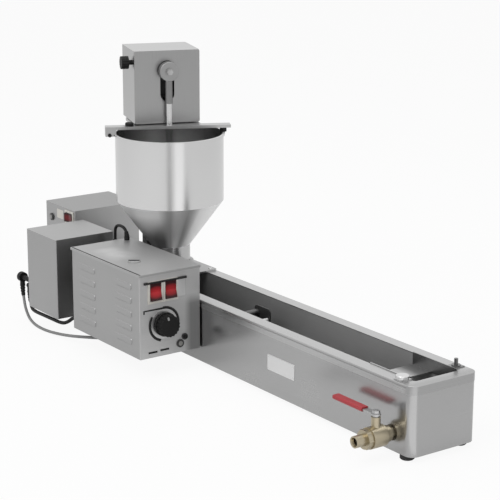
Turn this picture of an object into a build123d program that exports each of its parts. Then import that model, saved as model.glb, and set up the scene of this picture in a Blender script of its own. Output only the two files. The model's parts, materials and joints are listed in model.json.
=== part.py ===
from build123d import *
import os
from math import acos, cos, degrees, radians, sin, tan

os.makedirs("parts", exist_ok=True)

# Table-top donut machine, millimetres, +Z up.
# Local sizes are counted from the hopper axis (x, toward the discharge end), from the
# middle of the oil tank (y, the control side is negative) and from the top of the tank rim (z).

# Sheet and clearances
SHEET = 1.5
PLATE = 2.0
GAP = 0.3
FIT = 0.05

# Oil tank, casing and feet
RIM_Z = 117.0
FOOT_H = 9.0
FOOT_R = 11.0
FOOT_IN_X = 23.0
FOOT_IN_Y = 13.0
TANK_W = 128.0
FLANGE = 21.0
LIP = 13.5
LIP_T = 3.4
LIP_OVER = 0.5
GROOVE_Z = (-4.6, -2.4)
GROOVE_IN = 1.6
RIM_R = 15.0
PAN_R = 6.0
PAN_DEPTH = 95.0
FEED_END = 210.0
OUTLET_END = 730.0

# Boxes beside the tank
BOX_GAP = 2.0
BOX_W = 118.0
BOX_TOP = 61.5
BOX_BOTTOM = -83.5
BOX_R = 2.5
CONTROL_L = 221.6
CONTROL_END = 191.0
LID_OVER = 2.2
LID_LIP = 3.5
LID_GAP = 0.2
MOTORBOX_L = 107.0
MOTORBOX_END = -87.8
HEATER_L = 111.3
HEATER_W = 139.0
HEATER_TOP = 73.0
HEATER_GAP = 8.7
BRACKET_H = 35.0
BRACKET_L = 40.0
BRACKET_TOP = -20.0
LOUVRE_L = 54.0
LOUVRE_H = 11.0
LOUVRE_OUT = 1.0
LOUVRE_SLOPE = 40.0
LOUVRE_SLOT = 0.7
LOUVRE_PITCH = 23.5
LOUVRE_ROWS = 5
LOUVRE_SPREAD = 118.0

# Switches, knob, lamp and button on the control panel
ROCKER_L = 30.0
ROCKER_W = 21.0
FRAME_EDGE = 4.0
FRAME_T = 2.0
FRAME_DEPTH = 20.0
ROCK = 14.0
SWITCH_Z = 29.0
SWITCH_IN = 73.25
SWITCH_PITCH = 29.5
KNOB_R = 20.5
KNOB_H = 18.0
KNOB_IN = 71.0
KNOB_Z = -28.7
FLUTES = 18
FLUTE_R = 2.4
SPINDLE_R = 3.0
BUSH_R = 5.0
THERMOSTAT = 30.0
PROBE_X = 38.0
PROBE_Z = -62.0
PROBE_R = 3.0
PROBE_TIP = -5.0
LAMP_R = 7.0
LAMP_DEPTH = 10.0
LENS_OUT = 1.5
LAMP_IN = 40.0
LAMP_Z = -68.0
RESET_R = 3.6
RESET_TRAVEL = 2.5
RESET_DEPTH = 9.0
RESET_IN = 31.0
RESET_Z = -57.6
PLUG_R = 11.0
PLUG_X = 111.0
PLUG_IN = 78.6

# Switch and pilot lamp on the heater box
HEATER_ROCKER_L = 23.0
HEATER_ROCKER_W = 17.0
HEATER_SWITCH_Z = 57.0
PILOT_Z = 46.0

# Heating elements
ELEMENT_R = 4.0
ELEMENT_Z = -72.0
ELEMENT_WALL = 20.0
ELEMENT_BEND = 9.0
ELEMENT_END = 640.0

# Drain valve
VALVE_X = 681.0
VALVE_Z = -82.5
VALVE_BORE = 5.5
NIPPLE_R = 9.0
BELLY_R = 16.5
BALL_R = 9.9
BALL_OUT = 26.0
TAIL_OUT = 66.0
STEM_R = 3.0
BONNET_H = 31.0
LEVER_L = 91.0
LEVER_W = 10.0
LEVER_T = 2.5
SLEEVE_L = 66.0
SLEEVE_W = 14.0
SLEEVE_T = 7.0

# Pusher conveyor in the tank and its drive in the motor box
SHAFT_R = 4.0
SHAFT_WALL = 9.0
SHAFT_Z = -34.0
SHAFT_START = -180.0
SHAFT_END = 556.0
BEARING_XS = (-40.0, 190.0, 530.0)
PADDLE_XS = (-108.0, 60.0, 120.0, 330.0, 390.0, 450.0)
PADDLE_GAP = 3.0
PADDLE_DROP = 29.0
PADDLE_H = 22.0
PADDLE_T = 2.0
HUB_R = 8.0
HUB_L = 10.0
COLLAR_L = 5.0
CRANK_R = 30.0
CRANK_T = 5.0
CRANK_X = -141.0
CRANK_Z = -15.0
THROW = 22.0
PIN_R = 4.0
YOKE_IN = 16.0
YOKE_T = 3.0
ARM_W = 12.0
ARM_Z = 8.0
ARM_T = 6.0

# Turner and discharge
TURNER_X = 258.0
TURNER_Z = -16.0
TIE_X = 286.0
TIE_Z = -23.0
TURNER_ROD_R = 3.0
TURNER_Y = 8.0
TRAY_L = 52.0
TRAY_DIP = 16.0
CHUTE_X = 609.0
CHUTE_L = 42.0
CHUTE_Z = -18.0
TAB_L = 18.0
TAB_W = 18.0
BOLT_R = 3.0
THUMB_R = 10.0
THUMB_H = 6.0
WASHER_R = 7.0
POST_H = 11.0

# Hopper, nozzle and plunger
HOPPER_R = 95.0
HOPPER_TOP = 248.6
CONE_TOP = 129.5
CONE_BOTTOM = 48.0
NECK_R = 35.0
NECK_BOTTOM = -4.0
HOPPER_RIM = 2.5
HOPPER_RIM_H = 3.6
SEAT_L = 110.0
SEAT_T = 3.0
COLLAR_H = 15.0
COLLAR_T = 6.0
PROP_YS = (-24.2, 4.0)
PROP_TOP = 66.0
NOZZLE_R = 22.5
NOZZLE_T = 2.5
NOZZLE_TOP = 44.0
NOZZLE_BOTTOM = -12.0
PISTON_H = 12.0
PISTON_Z = 46.0
DISC_R = 19.0
DISC_T = 3.7
ROD_R = 5.5
SPINDLE_END_R = 4.0
SLEEVE_R = 6.25

# Drive head on its bar across the hopper
HEAD_YAW = 19.5
HEAD_FRONT = -12.0
HEAD_DEPTH = 102.6
HEAD_W = 116.4
HEAD_H = 127.3
HEAD_THROW = 18.0
HEAD_R = 3.0
SLOT_W = 25.0
SLOT_BOTTOM = 302.0
SLOT_TOP = 373.5
EYE_R = 17.0
EYE_T = 14.0
EYE_Z = 356.0
EYE_PIN_R = 7.0
SLIDER_T = 16.0
SLIDER_W = 56.0
SLIDER_H = 32.0
SLIDER_GAP = 4.0
GUIDE_R = 4.0
GUIDE_SPREAD = 42.0
BAR_YAW = 27.6
BAR_W = 20.4
BAR_T = 5.2
BAR_LIFT = 8.0
BAR_NEAR = 112.0
BAR_FAR = 107.5
SHOE_W = 116.0
SHOE_L = 92.0
CLIP_DROP = 3.5
LEDGE = 4.0
LOCK_R = 2.0
LOCK_HEAD_R = 3.2
LOCK_HEAD_H = 2.4
BAR_FOOT_R = 6.0
BUMPER_R = 7.5
BUMPER_H = 5.5
BUMPER_Y = -69.5
BUMPER_X = -2.7
RAIL_W = 10.0
RAIL_T = 1.7
RAIL_SPREAD = 80.0
RAIL_BACK = 15.0
SPEED_R = 11.2
SPEED_H = 13.0
SPEED_STUB_R = 4.25
SPEED_STUB_L = 6.0
SPEED_BACK = 24.0
SPEED_Z = 369.0

# Cords
GREY_R = 2.6
BLACK_R = 3.2
LINK_R = 2.7
GLAND_R = 9.0
GLAND_T = 9.5

# Places that follow from the sizes above
YAW = radians(HEAD_YAW)
BAR_TURN = radians(BAR_YAW)
CONTROL_BACK = -TANK_W / 2 - BOX_GAP
MOTORBOX_BACK = CONTROL_BACK
BOX_FACE = CONTROL_BACK - BOX_W
NEAR_SIDE = max(LID_OVER, LOUVRE_OUT) - BOX_FACE
FAR_BAR = BAR_W / 2 * sin(BAR_TURN) + BAR_FAR * cos(BAR_TURN)
FAR_HEAD = (HEAD_DEPTH - HEAD_FRONT) * sin(YAW) + HEAD_W / 2 * cos(YAW)
FAR_SIDE = max(FAR_BAR, FAR_HEAD, HOPPER_R + HOPPER_RIM)
HOPPER_X = (FEED_END + HEATER_GAP + HEATER_L - OUTLET_END) / 2
TANK_Y = (NEAR_SIDE - FAR_SIDE) / 2
BASE = Plane(origin=(HOPPER_X, TANK_Y, RIM_Z))
HEAD = Plane(origin=BASE.origin, x_dir=(cos(YAW), -sin(YAW), 0), z_dir=(0, 0, 1))
BAR = Plane(origin=BASE.origin, x_dir=(cos(BAR_TURN), -sin(BAR_TURN), 0), z_dir=(0, 0, 1))
TANK_L = FEED_END + OUTLET_END
TANK_X = (OUTLET_END - FEED_END) / 2
PAN_HALF = TANK_W / 2 - FLANGE
CASING_HALF = TANK_W / 2 - LIP_OVER
CASING_X = FEED_END - LIP_OVER
FLOOR = FOOT_H - RIM_Z
CONTROL_X = CONTROL_END - CONTROL_L
MOTORBOX_X = MOTORBOX_END - MOTORBOX_L
HEATER_X = -FEED_END - HEATER_GAP
HEATER_SWITCH_X = HEATER_X - HEATER_L * 0.184
PILOT_X = HEATER_X - HEATER_L * 0.787
SWITCH_Y = CONTROL_BACK - SWITCH_IN
KNOB_Y = CONTROL_BACK - KNOB_IN
LAMP_Y = CONTROL_BACK - LAMP_IN
RESET_Y = CONTROL_BACK - RESET_IN
PLUG_Y = CONTROL_BACK - PLUG_IN
ELEMENT_Y = PAN_HALF - ELEMENT_WALL
BALL_Y = -TANK_W / 2 - BALL_OUT
SHAFT_Y = SHAFT_WALL - PAN_HALF
PADDLE_R = PAN_HALF - SHAFT_Y - PADDLE_GAP
YOKE_Y = MOTORBOX_BACK - YOKE_IN
STROKE = 2 * THROW
BAR_Z = (HOPPER_TOP + BAR_LIFT, HOPPER_TOP + BAR_LIFT + BAR_T)
HEAD_BOTTOM = BAR_Z[1] + RAIL_T
SLEEVE_BOTTOM = BAR_Z[1] + 2 * HEAD_THROW + PLATE
TAB_X = OUTLET_END - FLANGE - PAN_R - TAB_L - 1


def mid(pair):
    return (pair[0] + pair[1]) / 2


def span(pair):
    return pair[1] - pair[0]


def block(xs, ys, zs, mode=Mode.ADD):
    """A box between three pairs of coordinates."""
    with Locations((mid(xs), mid(ys), mid(zs))):
        Box(span(xs), span(ys), span(zs), mode=mode)


def rod(axis, along, at, radius, mode=Mode.ADD):
    """A round bar along one axis, at the two other coordinates."""
    places = {
        "x": ((mid(along), *at), (0, 90, 0)),
        "y": ((at[0], mid(along), at[1]), (90, 0, 0)),
        "z": ((*at, mid(along)), (0, 0, 0)),
    }
    place, turn = places[axis]
    with Locations(place):
        Cylinder(radius, span(along), rotation=turn, mode=mode)


def hollow(xs, ys, zs, open_sides):
    """Cuts the inside of a sheet box away, through the sides that are named open."""
    inner = []
    for name, pair in zip("xyz", (xs, ys, zs)):
        low = pair[0] + (-SHEET if "-" + name in open_sides else SHEET)
        high = pair[1] + (SHEET if "+" + name in open_sides else -SHEET)
        inner.append((low, high))
    block(*inner, mode=Mode.SUBTRACT)


def outline(plane, length, width, radius, depth, mode=Mode.ADD):
    """A rounded slab of the tank's plan, hanging down from its plane."""
    with BuildSketch(plane) as plan:
        with Locations((TANK_X, 0)):
            RectangleRounded(length, width, radius)
    extrude(plan.sketch, amount=-depth, mode=mode)


def spot(x, y, z):
    """A local place as a point of the part."""
    return BASE.from_local_coords((x, y, z))


def save(piece, name, *welded):
    """Write one piece, with any others that are welded to it and stay solids of their own."""
    shape = piece.part
    if welded:
        shape = Compound(piece.solids() + [solid for other in welded for solid in other.solids()])
    shape.label = name
    export_step(shape, "parts/" + name + ".step")


# Oil tank: a rim with a thick lip, grooved along both sides, and the pan welded under its mouth,
# which is a band of walls on a floor plate
PAN_L = TANK_L - 2 * FLANGE
with BuildPart(BASE) as tank_rim:
    outline(BASE, TANK_L, TANK_W, RIM_R, LIP)
    fillet(faces().sort_by(Axis.Z)[-1].edges(), SHEET / 2)
    outline(BASE.offset(-SHEET), TANK_L - 2 * LIP_T, TANK_W - 2 * LIP_T, RIM_R - LIP_T, LIP, Mode.SUBTRACT)
    for side in (-1, 1):
        groove = sorted((side * (TANK_W / 2 - GROOVE_IN), side * (TANK_W / 2 + 1)))
        block((RIM_R - FEED_END, OUTLET_END - RIM_R), groove, GROOVE_Z, Mode.SUBTRACT)
    outline(BASE, PAN_L, 2 * PAN_HALF, PAN_R, LIP, Mode.SUBTRACT)
    for side in (-1, 1):
        hole = (TAB_X + TAB_L / 2, side * (PAN_HALF + TAB_W / 2))
        rod("z", (-2 * SHEET, SHEET), hole, BOLT_R + FIT, Mode.SUBTRACT)
save(tank_rim, "tank_rim")

PAN_PLAN = (PAN_L + 2 * SHEET, 2 * (PAN_HALF + SHEET), PAN_R + SHEET)
with BuildPart(BASE) as pan_floor:
    outline(BASE.offset(SHEET - PAN_DEPTH), *PAN_PLAN, SHEET)

with BuildPart(BASE) as oil_tank:
    outline(BASE.offset(-SHEET), *PAN_PLAN, PAN_DEPTH - 2 * SHEET)
    outline(BASE, PAN_L, 2 * PAN_HALF, PAN_R, PAN_DEPTH, Mode.SUBTRACT)
    wall = (-PAN_HALF - 2 * SHEET, -PAN_HALF + SHEET)
    rod("y", wall, (VALVE_X, VALVE_Z), NIPPLE_R + GAP, Mode.SUBTRACT)
    rod("y", wall, (PROBE_X, PROBE_Z), PROBE_R + FIT, Mode.SUBTRACT)
    wall = (-FEED_END + FLANGE - 2 * SHEET, -FEED_END + FLANGE + SHEET)
    for leg in (ELEMENT_Y - ELEMENT_BEND, ELEMENT_Y + ELEMENT_BEND):
        for side in (-leg, leg):
            rod("x", wall, (side, ELEMENT_Z), ELEMENT_R + FIT, Mode.SUBTRACT)
save(oil_tank, "oil_tank", pan_floor)

with BuildPart(BASE) as casing:
    CASING_L = TANK_L - 2 * LIP_OVER
    CASING_R = RIM_R - LIP_OVER
    outline(BASE.offset(-LIP), CASING_L, 2 * CASING_HALF, CASING_R, -FLOOR - LIP)
    outline(BASE, CASING_L - 2 * SHEET, 2 * (CASING_HALF - SHEET), CASING_R - SHEET, -FLOOR - SHEET, Mode.SUBTRACT)
    wall = (-CASING_HALF - SHEET, -CASING_HALF + 2 * SHEET)
    rod("y", wall, (VALVE_X, VALVE_Z), NIPPLE_R + GAP, Mode.SUBTRACT)
    rod("y", wall, (PROBE_X, PROBE_Z), PROBE_R + FIT, Mode.SUBTRACT)
    for leg in (ELEMENT_Y - ELEMENT_BEND, ELEMENT_Y + ELEMENT_BEND):
        for side in (-leg, leg):
            rod("x", (-CASING_X - SHEET, -CASING_X + 2 * SHEET), (side, ELEMENT_Z), ELEMENT_R + FIT, Mode.SUBTRACT)
save(casing, "casing")

with BuildPart(BASE) as rubber_feet:
    with Locations((TANK_X, 0, FLOOR - FOOT_H / 2)):
        with GridLocations(TANK_L - 2 * FOOT_IN_X, TANK_W - 2 * FOOT_IN_Y, 2, 2):
            Cylinder(FOOT_R, FOOT_H)
    chamfer(faces().filter_by(Axis.Z).sort_by(Axis.Z)[:4].edges(), FOOT_H / 6)
save(rubber_feet, "rubber_feet")

# Drain valve: profiles turned about the outlet's axis, with the bore outward from the tank
TURN = Plane(origin=spot(VALVE_X, 0, VALVE_Z), x_dir=(0, 0, 1), z_dir=(1, 0, 0))
TURN_AXIS = Axis(TURN.origin, TURN.y_dir)
CHEST = -BALL_Y + BALL_R + FIT
BELLY_END = CHEST + 4.0
TAIL_START = BELLY_END + FIT
BELLY_START = -BALL_Y - BELLY_R
CHEST_R = BALL_R + GAP
TAIL_END = TANK_W / 2 + TAIL_OUT

with BuildPart(BASE) as valve_body:
    with BuildSketch(TURN) as profile:
        with BuildLine():
            Polyline(
                (VALVE_BORE, PAN_HALF - PLATE), (NIPPLE_R, PAN_HALF - PLATE), (NIPPLE_R, BELLY_START - 6),
                (BELLY_R - 4, BELLY_START - 6), (BELLY_R - 4, BELLY_START), (BELLY_R, BELLY_START + 4),
                (BELLY_R, BELLY_END), (CHEST_R, BELLY_END), (CHEST_R, -BALL_Y - BALL_R - FIT),
                (VALVE_BORE, -BALL_Y - BALL_R - FIT), close=True,
            )
        make_face()
    revolve(profile.sketch, TURN_AXIS)
    rod("z", (VALVE_Z + BALL_R + 2, VALVE_Z + BONNET_H), (VALVE_X, BALL_Y), STEM_R + 4)
    rod("z", (VALVE_Z, VALVE_Z + BONNET_H + 1), (VALVE_X, BALL_Y), STEM_R + FIT, Mode.SUBTRACT)
    with BuildSketch(TURN) as profile:
        with BuildLine():
            Polyline(
                (VALVE_BORE, CHEST), (CHEST_R - FIT, CHEST), (CHEST_R - FIT, TAIL_START),
                (BELLY_R - 2, TAIL_START), (BELLY_R - 2, TAIL_START + 9), (NIPPLE_R, TAIL_START + 9),
                (NIPPLE_R, TAIL_END), (VALVE_BORE + 1.5, TAIL_END), (VALVE_BORE, TAIL_END - 4), close=True,
            )
        make_face()
    revolve(profile.sketch, TURN_AXIS)
    spanner = Plane(origin=TURN.origin, x_dir=(1, 0, 0), z_dir=(0, -1, 0))
    with BuildSketch(spanner.offset(TAIL_START)) as nut:
        RegularPolygon(BELLY_R - 1, 6)
        Circle(NIPPLE_R - 1, mode=Mode.SUBTRACT)
    extrude(nut.sketch, amount=9)
save(valve_body, "valve_body")

BALL_FLAT = BALL_R - 1.5
with BuildPart(BASE) as valve_ball:
    with Locations((VALVE_X, BALL_Y, VALVE_Z)):
        Sphere(BALL_R)
    rod("x", (VALVE_X - 2 * BALL_R, VALVE_X + 2 * BALL_R), (BALL_Y, VALVE_Z), VALVE_BORE, Mode.SUBTRACT)
    top = (VALVE_Z + BALL_FLAT, VALVE_Z + 2 * BALL_R)
    block((VALVE_X - BALL_R, VALVE_X + BALL_R), (BALL_Y - BALL_R, BALL_Y + BALL_R), top, Mode.SUBTRACT)
save(valve_ball, "valve_ball")

LEVER_Z = VALVE_Z + BONNET_H + LEVER_T
NUT_H = 4.5
with BuildPart(BASE) as valve_stem:
    rod("z", (VALVE_Z + BALL_FLAT, LEVER_Z + LEVER_T + NUT_H + 1), (VALVE_X, BALL_Y), STEM_R)
    rod("z", (VALVE_Z + BONNET_H + GAP, LEVER_Z), (VALVE_X, BALL_Y), STEM_R + 2.5)
    with BuildSketch(BASE.offset(LEVER_Z + LEVER_T)) as hexagon:
        with Locations((VALVE_X, BALL_Y)):
            RegularPolygon(STEM_R * 2, 6)
            Circle(STEM_R + FIT, mode=Mode.SUBTRACT)
    extrude(hexagon.sketch, amount=NUT_H)
save(valve_stem, "valve_stem")

with BuildPart(BASE) as valve_lever:
    with BuildSketch(BASE.offset(LEVER_Z)) as strip:
        with Locations((VALVE_X, BALL_Y)):
            Circle(LEVER_W * 0.75)
        with Locations((VALVE_X - LEVER_L / 2, BALL_Y)):
            Rectangle(LEVER_L, LEVER_W)
        with Locations((VALVE_X, BALL_Y)):
            Circle(STEM_R + FIT, mode=Mode.SUBTRACT)
    extrude(strip.sketch, amount=LEVER_T)
save(valve_lever, "valve_lever")

with BuildPart(BASE) as lever_sleeve:
    sleeve_x = (VALVE_X - LEVER_L - PLATE, VALVE_X - LEVER_L + SLEEVE_L)
    half = SLEEVE_W / 2
    sleeve_z = (LEVER_Z + (LEVER_T - SLEEVE_T) / 2, LEVER_Z + (LEVER_T + SLEEVE_T) / 2)
    block(sleeve_x, (BALL_Y - half, BALL_Y + half), sleeve_z)
    fillet(edges().filter_by(Axis.X), SLEEVE_T * 0.4)
    fillet(edges().filter_by(Axis.Z), PLATE / 2)
    half = LEVER_W / 2
    block((VALVE_X - LEVER_L, VALVE_X), (BALL_Y - half, BALL_Y + half), (LEVER_Z, LEVER_Z + LEVER_T), Mode.SUBTRACT)
save(lever_sleeve, "lever_sleeve")

# Control box: folded shell, front panel and a lid that laps over the edges
LID_T = SHEET
CONTROL_YS = (BOX_FACE, CONTROL_BACK)
CONTROL_ZS = (BOX_BOTTOM, BOX_TOP - LID_T)
SHELL_XS = (CONTROL_X, CONTROL_END - SHEET)

with BuildPart(BASE) as control_shell:
    block(SHELL_XS, CONTROL_YS, CONTROL_ZS)
    fillet(edges().filter_by(Axis.Z).group_by(Axis.X)[0], BOX_R)
    hollow(SHELL_XS, CONTROL_YS, CONTROL_ZS, ("+x", "+z"))
    rod("y", (CONTROL_BACK - 2 * SHEET, CONTROL_BACK + SHEET), (PROBE_X, PROBE_Z), PROBE_R + FIT, Mode.SUBTRACT)
    for x in (mid(SHELL_XS) - LOUVRE_SPREAD / 2, mid(SHELL_XS) + LOUVRE_SPREAD / 2):
        face = Plane(origin=spot(x, BOX_FACE, mid(CONTROL_ZS)), x_dir=(1, 0, 0), z_dir=(0, -1, 0))
        rows = GridLocations(1, LOUVRE_PITCH, 1, LOUVRE_ROWS)
        with BuildSketch(face) as hoods:
            with rows:
                RectangleRounded(LOUVRE_L, LOUVRE_H, LOUVRE_H / 3)
        extrude(hoods.sketch, amount=LOUVRE_OUT, taper=LOUVRE_SLOPE)
        for row in range(LOUVRE_ROWS):
            low = mid(CONTROL_ZS) + (row - (LOUVRE_ROWS - 1) / 2) * LOUVRE_PITCH - LOUVRE_H / 2
            reach = LOUVRE_L / 2 - LOUVRE_H / 2
            through = (BOX_FACE - SHEET, BOX_FACE + 2 * SHEET)
            block((x - reach, x + reach), through, (low - FIT, low + LOUVRE_SLOT), Mode.SUBTRACT)
save(control_shell, "control_shell")

SWITCH_YS = (SWITCH_Y - SWITCH_PITCH / 2, SWITCH_Y + SWITCH_PITCH / 2)
BODY_L = ROCKER_L / 2 + PLATE
BODY_W = ROCKER_W / 2 + PLATE
LAMP_BODY_R = LAMP_R - PLATE
LENS_R = LAMP_BODY_R - 1
HEATER_FACE = -HEATER_W / 2
SWITCH_PLACE = spot(HEATER_SWITCH_X, HEATER_FACE, HEATER_SWITCH_Z)
SWITCH_SIDE = Plane(origin=SWITCH_PLACE, x_dir=(1, 0, 0), z_dir=(0, -1, 0))
COLLAR_R = RESET_R + PLATE

with BuildPart(BASE) as control_panel:
    block((CONTROL_END - SHEET, CONTROL_END), CONTROL_YS, CONTROL_ZS)
    through = (CONTROL_END - 2 * SHEET, CONTROL_END + SHEET)
    for y in SWITCH_YS:
        window = (SWITCH_Z - BODY_L - GAP, SWITCH_Z + BODY_L + GAP)
        block(through, (y - BODY_W - GAP, y + BODY_W + GAP), window, Mode.SUBTRACT)
    rod("x", through, (KNOB_Y, KNOB_Z), BUSH_R + GAP, Mode.SUBTRACT)
    rod("x", through, (LAMP_Y, LAMP_Z), LAMP_BODY_R + GAP, Mode.SUBTRACT)
    rod("x", through, (RESET_Y, RESET_Z), RESET_R + PLATE / 2 + GAP, Mode.SUBTRACT)
save(control_panel, "control_panel")

with BuildPart(BASE) as control_lid:
    lid_x = (CONTROL_X - LID_OVER, CONTROL_END + LID_OVER)
    lid_y = (BOX_FACE - LID_OVER, CONTROL_BACK + LID_OVER)
    block(lid_x, lid_y, (BOX_TOP - LID_LIP, BOX_TOP))
    fillet(edges().filter_by(Axis.Z), BOX_R)
    inside_x = (CONTROL_X - LID_GAP, CONTROL_END + LID_GAP)
    inside_y = (BOX_FACE - LID_GAP, CONTROL_BACK + LID_GAP)
    block(inside_x, inside_y, (BOX_TOP - 2 * LID_LIP, BOX_TOP - LID_T), Mode.SUBTRACT)
    rod("z", (BOX_TOP - 2 * LID_T, BOX_TOP + 1), (PLUG_X, PLUG_Y), PLUG_R - PLATE + GAP, Mode.SUBTRACT)
save(control_lid, "control_lid")

with BuildPart(BASE) as lid_plug:
    rod("z", (BOX_TOP, BOX_TOP + PLATE), (PLUG_X, PLUG_Y), PLUG_R)
    rod("z", (BOX_TOP - 2 * PLATE, BOX_TOP), (PLUG_X, PLUG_Y), PLUG_R - PLATE)
    fillet(edges().filter_by(GeomType.CIRCLE).group_by(Axis.Z)[-1], PLATE / 2)
save(lid_plug, "lid_plug")


def switch_frame(plane, length, width):
    """Snap-in switch housing: a bezel outside the panel and a cup behind it; length along local x."""
    bezel = FRAME_EDGE
    with Locations(plane):
        block((-length / 2 - bezel, length / 2 + bezel), (-width / 2 - bezel, width / 2 + bezel), (0, FRAME_T))
        cup_x = (-length / 2 - PLATE, length / 2 + PLATE)
        cup_y = (-width / 2 - PLATE, width / 2 + PLATE)
        block(cup_x, cup_y, (-FRAME_DEPTH, 0))
        well_x = (-length / 2 - GAP, length / 2 + GAP)
        well_y = (-width / 2 - GAP, width / 2 + GAP)
        block(well_x, well_y, (-FRAME_DEPTH + PLATE, FRAME_T + 1), Mode.SUBTRACT)
        rod("y", (-width / 2 - PLATE / 2 - GAP, width / 2 + PLATE / 2 + GAP), (0, 0), PLATE / 2 + FIT, Mode.SUBTRACT)


def rocker(plane, length, width):
    """A rocker with a dished front and pivot stubs, pressed in at its local +x end."""
    rest = radians(ROCK / 2)
    half = length / 2 - GAP
    profile = [(-half / 3, -8), (-half, 0), (-half + 0.4, 5), (0, 2.4), (half - 0.4, 5), (half, 0), (half / 3, -8)]
    turned = [(u * cos(rest) + w * sin(rest), w * cos(rest) - u * sin(rest)) for u, w in profile]
    side = Plane(origin=plane.origin, x_dir=plane.x_dir, z_dir=-plane.y_dir)
    with BuildSketch(side) as shape:
        with BuildLine():
            Polyline(*turned, close=True)
        make_face()
    extrude(shape.sketch, amount=width / 2 - GAP, both=True)
    with BuildSketch(side) as pivot:
        Circle(PLATE / 2)
    extrude(pivot.sketch, amount=width / 2 + PLATE / 2, both=True)


def panel_plane(y, z):
    return Plane(origin=spot(CONTROL_END, y, z), x_dir=(0, 0, 1), z_dir=(1, 0, 0))


with BuildPart() as switch_frames:
    for y in SWITCH_YS:
        switch_frame(panel_plane(y, SWITCH_Z), ROCKER_L, ROCKER_W)
    switch_frame(SWITCH_SIDE, HEATER_ROCKER_L, HEATER_ROCKER_W)
save(switch_frames, "switch_frames")

with BuildPart() as left_rocker:
    rocker(panel_plane(SWITCH_YS[0], SWITCH_Z), ROCKER_L, ROCKER_W)
save(left_rocker, "left_rocker")

with BuildPart() as right_rocker:
    rocker(panel_plane(SWITCH_YS[1], SWITCH_Z), ROCKER_L, ROCKER_W)
save(right_rocker, "right_rocker")

# Thermostat behind the panel, its knob and the probe that reaches into the oil
BUSH_END = CONTROL_END + PLATE
with BuildPart(BASE) as thermostat:
    half = THERMOSTAT / 2
    back = CONTROL_END - SHEET - PLATE
    block((back - THERMOSTAT, back), (KNOB_Y - half, KNOB_Y + half), (KNOB_Z - half, KNOB_Z + half))
    fillet(edges().filter_by(Axis.X), PLATE)
    rod("x", (back, BUSH_END), (KNOB_Y, KNOB_Z), BUSH_R)
    rod("x", (back - PLATE, BUSH_END + 1), (KNOB_Y, KNOB_Z), SPINDLE_R + FIT, Mode.SUBTRACT)
save(thermostat, "thermostat")

with BuildPart(BASE) as thermostat_knob:
    KNOB_FACE = Plane(origin=spot(BUSH_END + GAP, KNOB_Y, KNOB_Z), x_dir=(0, 1, 0), z_dir=(1, 0, 0))
    with BuildSketch(KNOB_FACE) as skirt:
        Circle(KNOB_R)
    extrude(skirt.sketch, amount=KNOB_H / 5)
    with BuildSketch(KNOB_FACE.offset(KNOB_H / 5)) as grip:
        Circle(KNOB_R - FLUTE_R / 2)
        with PolarLocations(KNOB_R, FLUTES):
            Circle(FLUTE_R, mode=Mode.SUBTRACT)
    extrude(grip.sketch, amount=KNOB_H * 4 / 5, taper=4)
    rod("x", (CONTROL_END - SHEET - PLATE, BUSH_END + KNOB_H / 2), (KNOB_Y, KNOB_Z), SPINDLE_R)
save(thermostat_knob, "thermostat_knob")

with BuildPart(BASE) as temperature_probe:
    rod("y", (CONTROL_BACK - SHEET - 20, PROBE_TIP), (PROBE_X, PROBE_Z), PROBE_R)
    rod("y", (CONTROL_BACK - SHEET - 8, CONTROL_BACK - SHEET), (PROBE_X, PROBE_Z), PROBE_R * 2)
save(temperature_probe, "temperature_probe")

with BuildPart(BASE) as panel_bezels:
    rod("x", (CONTROL_END, CONTROL_END + PLATE), (LAMP_Y, LAMP_Z), LAMP_R)
    rod("x", (CONTROL_END - LAMP_DEPTH, CONTROL_END), (LAMP_Y, LAMP_Z), LAMP_BODY_R)
    rod("x", (CONTROL_END - PLATE, CONTROL_END + 2 * PLATE), (LAMP_Y, LAMP_Z), LENS_R + FIT, Mode.SUBTRACT)
    rod("x", (CONTROL_END, CONTROL_END + PLATE), (RESET_Y, RESET_Z), COLLAR_R)
    rod("x", (CONTROL_END - LAMP_DEPTH, CONTROL_END), (RESET_Y, RESET_Z), RESET_R + PLATE / 2)
    rod("x", (CONTROL_END - RESET_DEPTH, CONTROL_END + 2 * PLATE), (RESET_Y, RESET_Z), RESET_R + FIT, Mode.SUBTRACT)
    rod("y", (HEATER_FACE - PLATE, HEATER_FACE), (PILOT_X, PILOT_Z), LAMP_R)
    rod("y", (HEATER_FACE, HEATER_FACE + LAMP_DEPTH), (PILOT_X, PILOT_Z), LAMP_BODY_R)
    rod("y", (HEATER_FACE - 2 * PLATE, HEATER_FACE + PLATE), (PILOT_X, PILOT_Z), LENS_R + FIT, Mode.SUBTRACT)
save(panel_bezels, "panel_bezels")

with BuildPart(BASE) as lamp_lenses:
    rod("x", (CONTROL_END - PLATE, CONTROL_END + PLATE + LENS_OUT), (LAMP_Y, LAMP_Z), LENS_R)
    rod("y", (HEATER_FACE - PLATE - LENS_OUT, HEATER_FACE + PLATE), (PILOT_X, PILOT_Z), LENS_R)
    fillet(edges().filter_by(GeomType.CIRCLE).group_by(Axis.X)[-1], LENS_OUT)
    fillet(edges().filter_by(GeomType.CIRCLE).group_by(Axis.Y)[0], LENS_OUT)
save(lamp_lenses, "lamp_lenses")

with BuildPart(BASE) as reset_button:
    RESET_BACK = CONTROL_END - RESET_DEPTH + RESET_TRAVEL + GAP
    rod("x", (RESET_BACK, CONTROL_END + PLATE + RESET_TRAVEL + 1), (RESET_Y, RESET_Z), RESET_R)
    fillet(edges().filter_by(GeomType.CIRCLE).group_by(Axis.X)[-1], 1.0)
save(reset_button, "reset_button")

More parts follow.
